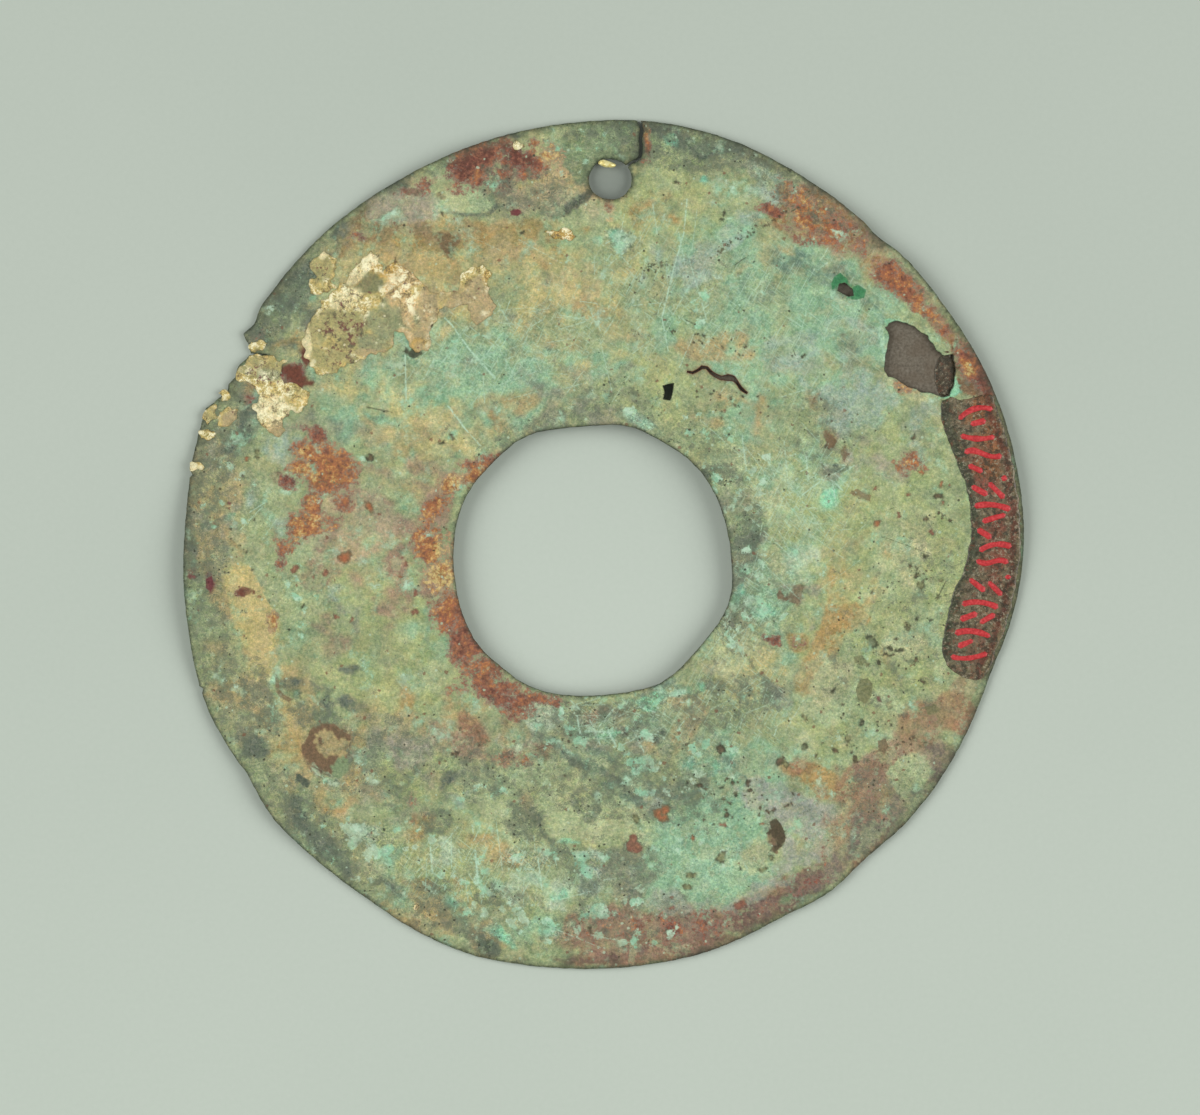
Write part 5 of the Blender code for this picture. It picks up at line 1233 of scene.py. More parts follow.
class Finish:
    # A node material built step by step, with colours that go by name; a method returns the socket it makes

    def __init__(self, name, colours=None):
        self.colours = colours
        self.material = bpy.data.materials.new(name)
        self.material.use_nodes = True
        self.nodes = self.material.node_tree.nodes
        self.links = self.material.node_tree.links
        self.spot = self.node("TexCoord").outputs["Object"]

    def feed(self, socket, value):
        if isinstance(value, str):
            value = self.colours[value]
        if isinstance(value, bpy.types.NodeSocket):
            self.links.new(value, socket)
        elif isinstance(value, tuple) and len(value) == 3 and socket.type == "RGBA":
            socket.default_value = (*value, 1)
        else:
            socket.default_value = value

    def node(self, kind, inputs=None, **settings):
        made = self.nodes.new("ShaderNode" + kind)
        for name, value in settings.items():
            setattr(made, name, value)
        for name, value in (inputs or {}).items():
            self.feed(made.inputs[name], value)
        return made

    def stored(self, name, colour=False):
        return self.node("Attribute", attribute_name=name).outputs["Color" if colour else "Fac"]

    def math(self, kind, a, b=0.0):
        return self.node("Math", {0: a, 1: b}, operation=kind).outputs[0]

    def product(self, first, *others):
        for other in others:
            first = self.math("MULTIPLY", first, other)
        return first

    def swing(self, value, reach, middle=0.5):
        # How far a blotchy value lies off its middle, times that reach
        return self.product(self.math("SUBTRACT", value, middle), reach)

    def blotches(self, size, detail, rough, warp=0.0, spot=None):
        # A noise node with blotches of about that size in millimetres
        return self.node("TexNoise", {
            "Vector": spot or self.spot, "Scale": 1 / (size * MM), "Detail": detail, "Roughness": rough,
            "Distortion": warp,
        })

    def noise(self, size, detail, rough, warp=0.0):
        return self.blotches(size, detail, rough, warp).outputs["Fac"]

    def streaks(self, size, length, turn):
        # Thin streaks, that many times longer than wide and turned that way
        turned = {"Vector": self.spot, "Rotation": (0, 0, math.radians(turn)), "Scale": (length, 1, 1)}
        spot = self.node("Mapping", turned, vector_type="TEXTURE").outputs[0]
        return self.blotches(size, 1, 0.5, 0.1, spot).outputs["Fac"]

    def between(self, value, low, high, to_low=0.0, to_high=1.0):
        return self.node("MapRange", {
            "Value": value, "From Min": low, "From Max": high, "To Min": to_low, "To Max": to_high,
        }, interpolation_type="SMOOTHSTEP").outputs["Result"]

    def mix(self, share, a, b):
        return self.node("Mix", {0: share, 6: a, 7: b}, data_type="RGBA").outputs[2]

    def lay(self, colour, over, *shares):
        # Lays a colour over the one so far, by the product of the shares
        return self.mix(self.product(*shares), colour, over)

    def ramp(self, value, stops):
        node = self.node("ValToRGB", {"Fac": value})
        line = node.color_ramp.elements
        line.remove(line[1])
        line[0].position = stops[0][0]
        line[0].color = (*stops[0][1], 1)
        for at, colour in stops[1:]:
            line.new(at).color = (*colour, 1)
        return node.outputs["Color"]

    def times(self, colour, amount):
        # A colour made lighter or darker by a number
        return self.node("VectorMath", {0: colour, "Scale": amount}, operation="SCALE").outputs[0]

    def mottled(self, colour, size, light, tint, detail=4, rough=0.85):
        # A colour varied in lightness and in hue, almost equally at all sizes below the one given
        noise = self.blotches(size, detail, rough)
        lowest = (1 - tint / 2, 1 - tint / 4, 1 - tint / 2)
        tints = {0: noise.outputs["Color"], 1: (tint, tint * 0.5, tint), 2: lowest}
        hue = self.node("VectorMath", tints, operation="MULTIPLY_ADD").outputs[0]
        both = self.node("VectorMath", {0: colour, 1: hue}, operation="MULTIPLY").outputs[0]
        amount = self.math("ADD", self.product(noise.outputs["Fac"], light), 1 - light / 2)
        return self.times(both, self.math("MAXIMUM", amount, 0.15))

    def cover(self, share, blotch, spread, soft):
        # Turns a share of ground covered into patches that follow the blotches
        both = self.math("ADD", share, self.swing(blotch, spread))
        return self.between(both, 0.5 - soft, 0.5 + soft)

    def specks(self, size, share, radius, ragged):
        # Small dots, one at most in each cell of that size, in about that share of the cells
        cell = self.node("TexVoronoi", {"Vector": self.spot, "Scale": 1 / (size * MM)})
        split = self.node("SeparateColor", {0: cell.outputs["Color"]})
        picked = self.math("LESS_THAN", split.outputs[0], share)
        reach = self.between(split.outputs[1], 0.0, 1.0, radius * 0.5, radius)
        away = self.math("ADD", cell.outputs["Distance"], self.swing(ragged, radius * 2.4))
        near = self.between(self.math("SUBTRACT", reach, away), -radius * 0.2, radius * 0.3)
        return self.product(near, picked)

    def lumps(self, size):
        # Small swellings packed side by side: 1 on top of each and 0 between them
        shift = self.blotches(size / 0.8, 4, 0.75).outputs["Color"]
        moved = {0: shift, 1: (size * MM * 1.6,) * 3, 2: self.spot}
        spot = self.node("VectorMath", moved, operation="MULTIPLY_ADD").outputs[0]
        cell = self.node("TexVoronoi", {"Vector": spot, "Scale": 1 / (size * MM)})
        return self.between(cell.outputs["Distance"], 0.1, 0.62, 1.0, 0.0)

    def far_from(self, x, y):
        # How far each place lies from one on the board, in metres
        where = {0: self.spot, 1: (x * MM, y * MM, 0)}
        return self.node("VectorMath", where, operation="DISTANCE").outputs["Value"]

    def bump(self, height, depth, strength=1.0):
        made = {"Height": height, "Distance": depth * MM, "Strength": strength}
        return self.node("Bump", made).outputs["Normal"]

    def done(self, colour, roughness, normal, metallic=0.0, specular=0.5, coat=0.0):
        shader = self.nodes["Principled BSDF"]
        for name, value in (
            ("Base Color", colour), ("Roughness", roughness), ("Metallic", metallic), ("Normal", normal),
            ("Specular IOR Level", specular), ("Coat Weight", coat), ("Coat Roughness", 0.2),
        ):
            self.feed(shader.inputs[name], value)
        return self.material


class CopperSkin(Finish):
    # The corroded skin of the sheet, laid coat by coat: each takes the colour so far and returns the new one

    def __init__(self):
        super().__init__("corroded_copper", COLOURS | SKIN_COLOURS)
        self.fine = self.noise(0.3, 3, 0.7)
        self.middle = self.noise(1.0, 5, 0.7, 0.1)
        self.broad = self.noise(3.2, 6, 0.7, 0.12)
        self.other = self.noise(2.3, 6, 0.7, 0.12)
        self.torn = self.noise(1.7, 8, 0.8, 0.15)
        self.lump = self.lumps(1.3)
        self.busy = self.stored("busy")
        self.crowded = self.product(self.between(self.busy, 0.15, 0.6), self.between(self.other, 0.44, 0.54))
        few = self.math("ADD", self.product(self.stored("grit"), 0.5), 0.03)
        self.dots = self.specks(0.5, few, 0.24, self.fine)

    def ground(self, colour):
        colour = self.lay(colour, "pale", self.between(self.broad, 0.53, 0.575), 0.36)
        colour = self.lay(colour, "mint", self.between(self.other, 0.545, 0.585), 0.3)
        colour = self.lay(colour, "dry", self.between(self.broad, 0.47, 0.42), 0.3)
        sunk = self.between(self.busy, 0.0, 1.0, 0.16, 0.55)
        colour = self.lay(colour, "ash", self.between(self.other, 0.455, 0.41), sunk)
        colour = self.mottled(colour, 1.0, 1.1, 0.1, 5)
        calm = self.mottled(self.mottled(colour, 2.6, 1.6, 0.5, 6), 0.3, 1.3, 0.4, 3, 0.9)
        rugged = self.mottled(self.mottled(colour, 2.4, 2.5, 0.7, 6), 0.3, 3.0, 0.7, 3, 0.9)
        return self.mix(self.busy, calm, rugged)

    def packed_lumps(self, colour):
        top = self.mottled("lump", 0.5, 1.6, 0.5)
        colour = self.lay(colour, top, self.between(self.lump, 0.6, 0.85), self.crowded, 0.5)
        return self.lay(colour, "gap", self.between(self.lump, 0.32, 0.1), self.crowded, 0.5)

    def veins(self, colour):
        line = self.math("ABSOLUTE", self.math("SUBTRACT", self.noise(1.9, 5, 0.65, 0.1), 0.5))
        broken = self.product(self.between(self.middle, 0.44, 0.52), self.between(self.busy, 0.2, 0.8), 0.7)
        return self.lay(colour, "vein", self.between(line, 0.004, 0.026, 1.0, 0.0), broken)

    def rubbed_streaks(self, colour):
        along = self.between(self.streaks(0.11, 30, 62), 0.6, 0.7)
        across = self.between(self.streaks(0.12, 26, -38), 0.61, 0.71)
        both = self.math("MAXIMUM", along, across)
        return self.lay(colour, "streak", both, self.stored("rubbed"), 0.5)

    def red_oxide(self, colour):
        held = self.stored("oxide")
        loose = self.math("ADD", self.swing(self.torn, 3.6), self.swing(self.fine, 1.2))
        burn = self.product(self.math("ADD", held, loose), self.between(held, 0.02, 0.25))
        warmth = self.math("ADD", self.stored("warmth"), self.swing(self.fine, 1.1))
        warmth = self.math("ADD", warmth, self.swing(self.middle, 1.7))
        haze = self.mix(self.stored("warmth"), "cool_haze", "warm_haze")
        oxide = self.mix(self.between(burn, 0.4, 0.8), haze, self.ramp(warmth, OXIDE_RAMP))
        colour = self.lay(colour, "veil", self.between(burn, 0.05, 0.5), 0.35)
        return self.lay(colour, self.mottled(oxide, 0.5, 2.2, 0.5, 5), self.between(burn, 0.3, 0.5), 0.9)

    def dark_grit(self, colour):
        dark = self.math("MINIMUM", self.stored("grit"), 0.54)
        dark = self.cover(dark, self.noise(1.2, 7, 0.8, 0.12), 4.4, 0.1)
        return self.lay(colour, self.mottled("grit", 0.5, 2.2, 0.6, 5), dark, 0.66)

    def pale_froth(self, colour):
        held = self.stored("flecks")
        froth = self.math("ADD", held, self.swing(self.lump, 0.8, 0.55))
        froth = self.product(froth, self.between(held, 0.02, 0.2))
        crust = self.cover(froth, self.other, 3.6, 0.2)
        pale = self.mix(self.between(self.broad, 0.42, 0.6), "froth", "green_froth")
        colour = self.lay(colour, self.mottled(pale, 0.8, 2.2, 0.5, 5), crust, 0.62)
        return self.lay(colour, "peak", crust, self.between(self.torn, 0.52, 0.58), 0.6)

    def grains(self, colour):
        colour = self.lay(colour, "dot", self.dots, 0.85)
        colour = self.lay(colour, "crumb", self.specks(0.75, 0.08, 0.26, self.fine), 0.7)
        return self.lay(colour, "salt_and_glint", self.specks(0.6, 0.09, 0.24, self.fine), 0.6)

    def spots_and_scratches(self, colour):
        spot = self.mottled(self.stored("spot_tone", True), 0.3, 2.0, 0.4)
        colour = self.lay(colour, spot, self.stored("spotted"))
        broken = self.between(self.fine, 0.3, 0.6, 0.35, 1.0)
        colour = self.lay(colour, "scratch", self.stored("scratch"), broken)
        return self.lay(colour, "gash", self.stored("gash"))

    def dark_rims(self, colour):
        thin = self.between(self.middle, 0.35, 0.6, 0.62, 0.34)
        colour = self.lay(colour, "margin", self.stored("margin"), thin)
        # The dark line along the rim and the opening and over the sheet's side: partly tarnish, partly
        # painted shade
        wear_and_shade = self.between(self.fine, 0.3, 0.65, 1.0, 0.6)
        colour = self.lay(colour, "edge", self.stored("edge"), wear_and_shade)
        return self.lay(colour, self.mottled("torn", 0.3, 2.0, 0.4), self.stored("torn"))

    def roughened(self):
        height = self.math("ADD", self.product(self.fine, 0.6), self.product(self.middle, 0.8))
        height = self.math("SUBTRACT", height, self.product(self.dots, 0.5))
        height = self.math("ADD", height, self.product(self.lump, self.crowded, 0.8))
        return self.bump(height, 0.06, 0.9)


def corroded_copper():
    skin = CopperSkin()
    colour = skin.stored("tone", True)
    for coat in (
        skin.ground, skin.packed_lumps, skin.veins, skin.rubbed_streaks, skin.red_oxide, skin.dark_grit,
        skin.pale_froth, skin.grains, skin.spots_and_scratches, skin.dark_rims,
    ):
        colour = coat(colour)
    rough = skin.between(skin.fine, 0.3, 0.7, 0.54, 0.74)
    return skin.done(colour, rough, skin.roughened(), specular=0.16)


def gold_leaf():
    made = Finish("gold_leaf", GILT_COLOURS)
    fine = made.noise(0.26, 4, 0.75)
    middle = made.noise(0.8, 5, 0.75, 0.1)
    torn = made.noise(0.9, 8, 0.82, 0.15)
    bright = made.stored("bright")
    colour = made.mottled(made.stored("tone", True), 1.1, 1.2, 0.5, 5)
    colour = made.mottled(colour, 0.25, 1.5, 0.4, 3, 0.9)
    glint = made.product(made.between(torn, 0.5, 0.555), made.between(bright, 0.1, 1.0))
    colour = made.lay(colour, "glint", glint, 0.95)
    # Dark olive gaps between the glints: partly worn leaf, partly painted shade of its crinkles
    wear_and_shade = made.product(made.between(torn, 0.47, 0.41), made.between(bright, 0.0, 1.0, 0.4, 0.9))
    colour = made.lay(colour, made.mottled("wear_and_shade", 0.3, 2.0, 0.5), wear_and_shade)
    pit = made.cover(made.product(made.stored("pits"), 0.45), made.noise(0.8, 7, 0.8, 0.15), 3.6, 0.06)
    dark = made.mottled(made.ramp(made.noise(1.4, 3, 0.6), PIT_RAMP), 0.3, 2.0, 0.4)
    colour = made.lay(colour, dark, pit, 0.9)
    # Pale gold specks: painted glints of the leaf
    colour = made.lay(colour, "salt_and_glint", made.specks(0.5, 0.12, 0.26, fine), 0.7)
    # Painted shadow: a dark line along the leaf's outline, as under its lifted edge
    colour = made.lay(colour, "edge", made.stored("edge"), 0.16)
    metal = made.product(bright, made.between(pit, 0.0, 1.0, 1.0, 0.0), 0.25)
    normal = made.bump(made.math("ADD", fine, middle), 0.09)
    return made.done(colour, made.between(fine, 0.3, 0.7, 0.32, 0.5), normal, metal)


def dark_lacquer():
    made = Finish("dark_lacquer", LACQUER_COLOURS)
    fine = made.noise(0.32, 4, 0.8)
    middle = made.noise(1.1, 6, 0.8, 0.15)
    colour = made.mottled(made.mottled(made.stored("tone", True), 1.6, 2.2, 0.7, 5), 0.3, 2.2, 0.5, 3, 0.9)
    pale = made.product(made.between(fine, 0.53, 0.58), made.between(middle, 0.46, 0.54, 0.15, 1.0))
    colour = made.lay(colour, "pale", pale, 0.75)
    red = made.between(made.noise(0.9, 6, 0.8, 0.1), 0.54, 0.6)
    colour = made.lay(colour, "red", red, 0.5)
    dark = made.between(made.noise(0.7, 6, 0.8, 0.1), 0.5, 0.43)
    colour = made.lay(colour, "dark", dark, 0.8)
    normal = made.bump(made.math("ADD", fine, middle), 0.03, 0.6)
    return made.done(colour, made.between(fine, 0.3, 0.7, 0.24, 0.44), normal, specular=0.4, coat=0.3)


def red_paint():
    made = Finish("red_paint")
    fine = made.noise(0.25, 3, 0.6)
    return made.done(made.ramp(fine, PAINT_RAMP), 0.42, made.bump(fine, 0.02, 0.5))


def backing_sheet():
    made = Finish("backing_sheet")
    fine = made.noise(0.25, 4, 0.6)
    wide = made.between(made.noise(2.2, 3, 0.5), 0.45, 0.65)
    colour = made.lay(made.ramp(fine, BACKING_RAMP), BACKING_STAIN, wide, 0.4)
    return made.done(colour, 0.8, made.bump(fine, 0.02, 0.5), specular=0.2)


def bright_gold():
    made = Finish("bright_gold")
    fine = made.noise(0.3, 3, 0.5)
    return made.done(made.ramp(fine, GOLD_RAMP), 0.3, made.bump(fine, 0.03, 0.5), 0.25, 0.8)


def pale_board():
    # A little lighter below and in the middle: painted light; and a painted shadow under the hanging hole
    made = Finish("pale_board")
    fine = made.noise(0.5, 2, 0.5)
    both = made.math("ADD", made.product(fine, 0.35), made.product(made.noise(60, 2, 0.5), 0.65))
    split = made.node("SeparateXYZ", {0: made.spot})
    # Painted light: the board lighter towards the bottom and towards the middle
    painted_light_slope = made.between(split.outputs["Y"], -0.075, 0.075, 1.075, 0.965)
    middle = made.between(made.far_from(0, 0), 0.0, 0.05, 1.05, 1.0)
    colour = made.times(made.ramp(both, BOARD_RAMP), made.product(painted_light_slope, middle))
    # Painted shadow: the board about half as bright under the hanging hole
    colour = made.times(colour, made.between(made.far_from(*HOLE), 0.0015, 0.003, 0.52, 1.0))
    return made.done(colour, 0.85, made.bump(fine, 0.02, 0.3), specular=0.1)


def pale_scratches():
    # All the pale scratches in millimetres: start, end, half width and strength
    made = [(*place(row[:4]), row[4] * TENTH * SCRATCH_SHARE, row[5]) for row in SCRATCHES]
    dice = np.random.default_rng(11)
    for x, y, reach_x, reach_y, turn, count in SCRATCHED_ZONES:
        for number in range(count):
            spin = dice.uniform(0, 2 * math.pi)
            away = math.sqrt(dice.uniform(0, 1))
            middle = place((x + reach_x * away * math.cos(spin), y + reach_y * away * math.sin(spin)))[0]
            way = math.radians(turn + dice.normal(0, 24))
            half = np.array((math.cos(way), math.sin(way))) * dice.uniform(0.3, 1.7)
            made.append((middle - half, middle + half, dice.uniform(0.025, 0.045), dice.uniform(0.2, 0.75)))
    return made


def dark_scratches():
    return [(*place(row[:4]), row[4] * TENTH * SCRATCH_SHARE, 0.8) for row in DARK_SCRATCHES]


def lines_on(points, lines):
    # A line's strength on it, falling to zero beside it, and thinner towards its two ends
    made = np.zeros(len(points))
    for a, b, half, strength in lines:
        near = np.abs(points - (a + b) / 2).max(1) < length_of(b - a) / 2 + 0.5
        share, away = beside(points[near], a, b)
        taper = np.clip(np.minimum(share, 1 - share) * 5, 0.25, 1)
        made[near] = np.maximum(made[near], np.clip(1 - away / (half * 2 * taper), 0, 1) * strength)
    return made


def all_spots():
    # The single spots and the scattered pits, in millimetres: middle, radius, kind
    made = [(place((x, y))[0], radius * TENTH, kind) for x, y, radius, kind in SPOTS]
    dice = np.random.default_rng(23)
    for x, y, reach_x, reach_y, turn, count in PITTED:
        for number in range(count):
            away = dice.normal(0, 0.5, 2) * (reach_x, reach_y)
            away = rotation(math.radians(-turn)) @ away
            size = 0.05 + 0.12 * dice.uniform(0, 1) ** 2
            made.append((place((x + away[0], y + away[1]))[0], size, dice.choice(("soot", "dot", "umber"))))
    return made


def line_marks(a, b, half_width):
    # Points along a line and on both its sides
    length = length_of(b - a)
    count = max(2, round(length / 0.32))
    aside = np.array((-(b - a)[1], (b - a)[0])) / length * half_width * 2
    middle = [a + (b - a) * i / count for i in range(count + 1)]
    return [p + aside * side for p in middle for side in (-1, 0, 1)]


def spot_marks(middle, radius):
    # A spot's middle, and points in two rings at its edge
    count = max(6, round(2 * math.pi * radius / 0.2))
    made = [middle]
    for ring in (radius, radius + 0.07):
        for i in range(count):
            turn = 2 * math.pi * (i + 0.5 * (ring > radius)) / count
            made.append(middle + np.array((math.cos(turn), math.sin(turn))) * ring)
    return made


def outline_marks(outline):
    # Points on both sides of a crisp shape's edge
    loop = drawn_loop(outline, 0.22)
    return np.vstack((loop + inwards(loop) * 0.05, loop - inwards(loop) * 0.05))


def sheet_marks(loops, lines, spots):
    # The extra points that the mesh of the front needs to hold its marks, away from its rims
    marks = [p for a, b, half, strength in lines for p in line_marks(a, b, half)]
    marks += [p for middle, radius, kind in spots for p in spot_marks(middle, radius)]
    marks += [p for shape in SHAPES + ACCENTS if shape[1] < CRISP for p in outline_marks(shape[4])]
    marks = np.array(marks)
    marks = marks[inside(marks, loops)]
    return marks[distance_to(np.vstack(loops), marks) > 0.3]


def shape_share(points, number, soft, uneven, cover, outline):
    # The points near a crisp shape, how far inside it each lies, and the shape's share there
    loop = drawn_loop(outline, 0.3)
    middle = loop.mean(0)
    reach = np.abs(loop - middle).max() + soft + uneven + 0.4
    near = np.flatnonzero(np.abs(points - middle).max(1) < reach)
    away = distance_to(loop, points[near])
    away = np.where(inside(points[near], [loop]), away, -away)
    away += (cloud(points[near], 1.0, 300 + number, 4) - 0.5) * uneven
    share = step_up(away, -soft / 2, soft / 2) * cover
    if uneven > GAPPY:
        share *= step_up(cloud(points[near], 1.3, 420 + number, 5), 0.26, 0.5)
    return near, away, share


def paint_front(flat, moved):
    # The tones, and over them the shapes with crisp edges
    made = paint(moved, COLOURS["sage"], TONES, COLOURS)
    for number, (name, *how) in enumerate(SHAPES):
        near, away, share = shape_share(flat, number, *how)
        made[near] = blend(made[near], share, COLOURS[name])
    return made


def paint_spots(flat, spots):
    # The single spots and the marks over all else: their share and their colour at each point
    spotted = np.zeros(len(flat))
    tone = np.zeros((len(flat), 3))
    for number, (middle, radius, name) in enumerate(spots):
        near = np.flatnonzero(np.abs(flat - middle).max(1) < radius * 1.6 + 0.1)
        aside = (flat[near] - middle) @ rotation(number * 1.7) * (0.85, 1.15)
        away = length_of(aside)
        aside = aside / np.maximum(away, 1e-6)[:, None]
        reach = radius * (0.7 + 0.6 * cloud(aside * 0.9 + number * 7.3, 1.0, 30, 2))
        share = 1 - step_up(away, reach - 0.03, reach + 0.05)
        inner, outer = SPOT_COLOURS[name]
        mixed = step_up(away, reach * 0.45, reach * 0.85)[:, None]
        spotted[near] = np.maximum(spotted[near], share * 0.9)
        held = near[share > 0]
        tone[held] = (np.array(inner) * (1 - mixed) + np.array(outer) * mixed)[share > 0]
    for number, (name, *how) in enumerate(ACCENTS):
        near, away, share = shape_share(flat, 50 + number, *how)
        tone[near[away > -0.4]] = COLOURS[name]
        spotted[near] = np.maximum(spotted[near] * (away < 0), share)
    return spotted, tone


def oxide_warmth(points):
    made = np.full(len(points), 0.5)
    for x, y, half_length, half_width, cover, warmth, *turn in OXIDE:
        share = np.clip(patch(points, (x, y, half_length, half_width, 1.4, *turn), OXIDE_SOFT), 0, 1)
        made = made * (1 - share) + warmth * share
    return made


def dark_margin(flat, rim):
    # The dark band inside the outer rim, but for the stretch of rim that stays bright
    away = distance_to(rim, flat) + (cloud(flat, 1.6, 84, 4) - 0.5) * 1.0
    bare = np.exp(-(length_of(flat - place(BRIGHT_RIM)[0]) / 18) ** 2)
    return (1 - step_up(away, 0.15, 1.25)) * (1 - bare)


def sheet_fields(flat, moved, loops, kind):
    # What lies at each point of the sheet besides its tone, from 0 to about 1
    grit = density(moved, GRIT)
    flecks = density(moved, FLECKS)
    crack = loop_at(loops, CRACK_MIDDLE)
    return {
        "oxide": density(moved, [(*row[:5], *row[6:]) for row in OXIDE], OXIDE_SOFT),
        "warmth": oxide_warmth(moved),
        "grit": grit,
        "flecks": flecks,
        "busy": np.clip(0.12 + 0.9 * np.maximum(grit, flecks), 0, 1),
        "rubbed": density(moved, [(*zone[:4], 1.0) for zone in SCRATCHED_ZONES], 0.8),
        # A dark line along the outer rim and the opening, partly tarnish and partly painted shade
        "edge": np.clip(1 - (distance_to(np.vstack(loops[:2]), flat) - 0.06) / 0.16, 0, 1),
        "margin": dark_margin(flat, loops[0]),
        "torn": np.clip(1.2 - distance_to(crack, flat) / 0.12, 0, 1) * (kind < BACK),
    }


def weather_back(flat, kind, tone, fields):
    # The back is plain: two tones with some oxide, grit and crust. Neither the back nor the edge has the
    # front's marks, and the edge is dark all over, partly as tarnish and partly as painted shade.
    back = kind == BACK
    old = cloud(flat, 7, 80, 4)
    blotch = cloud(flat, 3, 90, 4)
    tone[back] = (np.outer(old, COLOURS["sage"]) + np.outer(1 - old, COLOURS["bark"]))[back]
    fields["oxide"][back] = (step_up(blotch, 0.55, 0.8) * 0.7)[back]
    fields["grit"][back] = 0.6 * old[back]
    fields["flecks"][back] = (step_up(cloud(flat, 5, 95, 3), 0.6, 0.8) * 0.5)[back]
    for name in ("scratch", "gash", "spotted", "rubbed", "margin"):
        fields[name][kind != FRONT] = 0
    fields["edge"][kind == EDGE] = 1


def make_sheet():
    outlines = sheet_outlines("disc")
    lost = loop_at(outlines, LOSS_MIDDLE)
    wear = [LOSS_WEAR if loop is lost else EDGE_WEAR for loop in outlines]
    loops = [ragged(smooth_loop(loop, EDGE_STEP), amount) for loop, amount in zip(outlines, wear)]
    pale, dark, spots = pale_scratches(), dark_scratches(), all_spots()
    marks = sheet_marks(loops, pale + dark, spots)
    sheet, kind = thin_solid(
        "plaque_sheet", loops, FRONT_SPACING, front, lift, EDGE_ROWS, BACK_SPACING, marks,
    )
    points = points_of(sheet)
    flat = points[:, :2]
    moved = waver(flat)
    tone = paint_front(flat, moved)
    spotted, spot_tone = paint_spots(flat, spots)
    fields = sheet_fields(flat, moved, loops, kind)
    fields |= {"scratch": lines_on(flat, pale), "gash": lines_on(flat, dark), "spotted": spotted}
    weather_back(flat, kind, tone, fields)
    for name, values in ({"tone": tone, "spot_tone": spot_tone} | fields).items():
        give(sheet, name, values)
    points[:, 2] -= fields["scratch"] * SCRATCH_DEPTH + fields["spotted"] * SPOT_DEPTH
    move_points(sheet, points)
    sheet.data.materials.append(corroded_copper())
    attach(sheet, "root")
    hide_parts("disc")


def leaf_top(points):
    return front(points) + LEAF_THICKNESS + (cloud(points, 0.7, 71, 2) - 0.5) * 0.05


def leaf_bottom(points):
    return front(points) - 0.06


def make_leaf():
    made = []
    dull_patches = [spot for name, soft, patches in LEAF_TONES if name in DULL_LEAF for spot in patches]
    for number, outline in enumerate(LEAVES):
        loop = ragged(drawn_loop(outline, 0.16), 0.42, 70 + number)
        leaf, kind = thin_solid("leaf", [loop], LEAF_SPACING, leaf_top, leaf_bottom, THIN_ROWS, 0.5)
        flat = points_of(leaf)[:, :2]
        moved = flat + (waver(flat, 9) - flat) * 0.45
        give(leaf, "tone", paint(moved, LEAF_COLOURS["gold"], LEAF_TONES, LEAF_COLOURS))
        give(leaf, "pits", density(moved, LEAF_PITS))
        dull = density(moved, dull_patches)
        give(leaf, "bright", np.clip(1 - dull * 1.1 + (cloud(flat, 0.9, 74, 4) - 0.45) * 1.3, 0, 1))
        # How near each point lies to the leaf's outline, for its painted shadow line
        give(leaf, "edge", np.clip(1 - (distance_to(loop, flat) - 0.05) / 0.15, 0, 1))
        made.append(leaf)
    leaf = join(made, "gold_leaf")
    leaf.data.materials.append(gold_leaf())
    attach(leaf, "root")


def lacquer_level(points):
    # On the sheet, and down on the backing where the sheet is lost
    loss = loop_at(sheet_outlines("disc"), LOSS_MIDDLE)
    low = inside(points, [loss + inwards(loss) * 0.12])
    return np.where(low, lift(points) - BACKING_GAP, front(points))


def coat_top(points):
    return lacquer_level(points) + COAT_THICKNESS + (cloud(points, 0.9, 78, 2) - 0.5) * 0.03


def coat_bottom(points):
    return lacquer_level(points) - 0.05


def paint_coat(flat):
    # Reddish along its outer side, and green and black along its inner one
    rim = smooth_loop(sheet_outlines("disc")[0], 0.3)
    side = place(LACQUER_SIDE)
    side = np.vstack([a + (b - a) * t for a, b in zip(side, side[1:]) for t in np.linspace(0, 1, 12)])
    tone = paint(flat, LACQUER_COLOURS["coat"], LACQUER_TONES, LACQUER_COLOURS)
    grain = (cloud(flat, 1.2, 79, 4) - 0.5) * 0.7
    off_rim = distance_to(rim, flat) + grain
    stripe = step_up(off_rim, 0.55, 0.85) * (1 - step_up(off_rim, 1.15, 1.6)) * 0.85
    tone = blend(tone, stripe, LACQUER_COLOURS["red_brown"])
    tone = blend(tone, 1 - step_up(off_rim, 0.5, 0.8), LACQUER_COLOURS["olive"])
    dark = (1 - step_up(distance_to(side, flat) + grain, 0.4, 1.3)) * 0.9
    return blend(tone, dark, LACQUER_COLOURS["green_black"])


def make_lacquer():
    made = []
    for outline in (LACQUER, LACQUER_ON_BACKING):
        loop = ragged(drawn_loop(outline, 0.2), 0.14, 77)
        coat, kind = thin_solid("coat", [loop], 0.2, coat_top, coat_bottom, THIN_ROWS, 0.2)
        flat = points_of(coat)[:, :2]
        on_sheet = outline is LACQUER
        give(coat, "tone", paint_coat(flat) if on_sheet else np.tile(LACQUER_COLOURS["oval"], (len(flat), 1)))
        made.append(coat)
    coat = join(made, "lacquer_coat")
    coat.data.materials.append(dark_lacquer())
    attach(coat, "root")


def bent_line(path, count):
    # Points on the smooth curve that the path's points pull on
    made = []
    for t in np.linspace(0, 1, count):
        parts = path
        while len(parts) > 1:
            parts = parts[:-1] * (1 - t) + parts[1:] * t
        made.append(parts[0])
    return np.array(made)


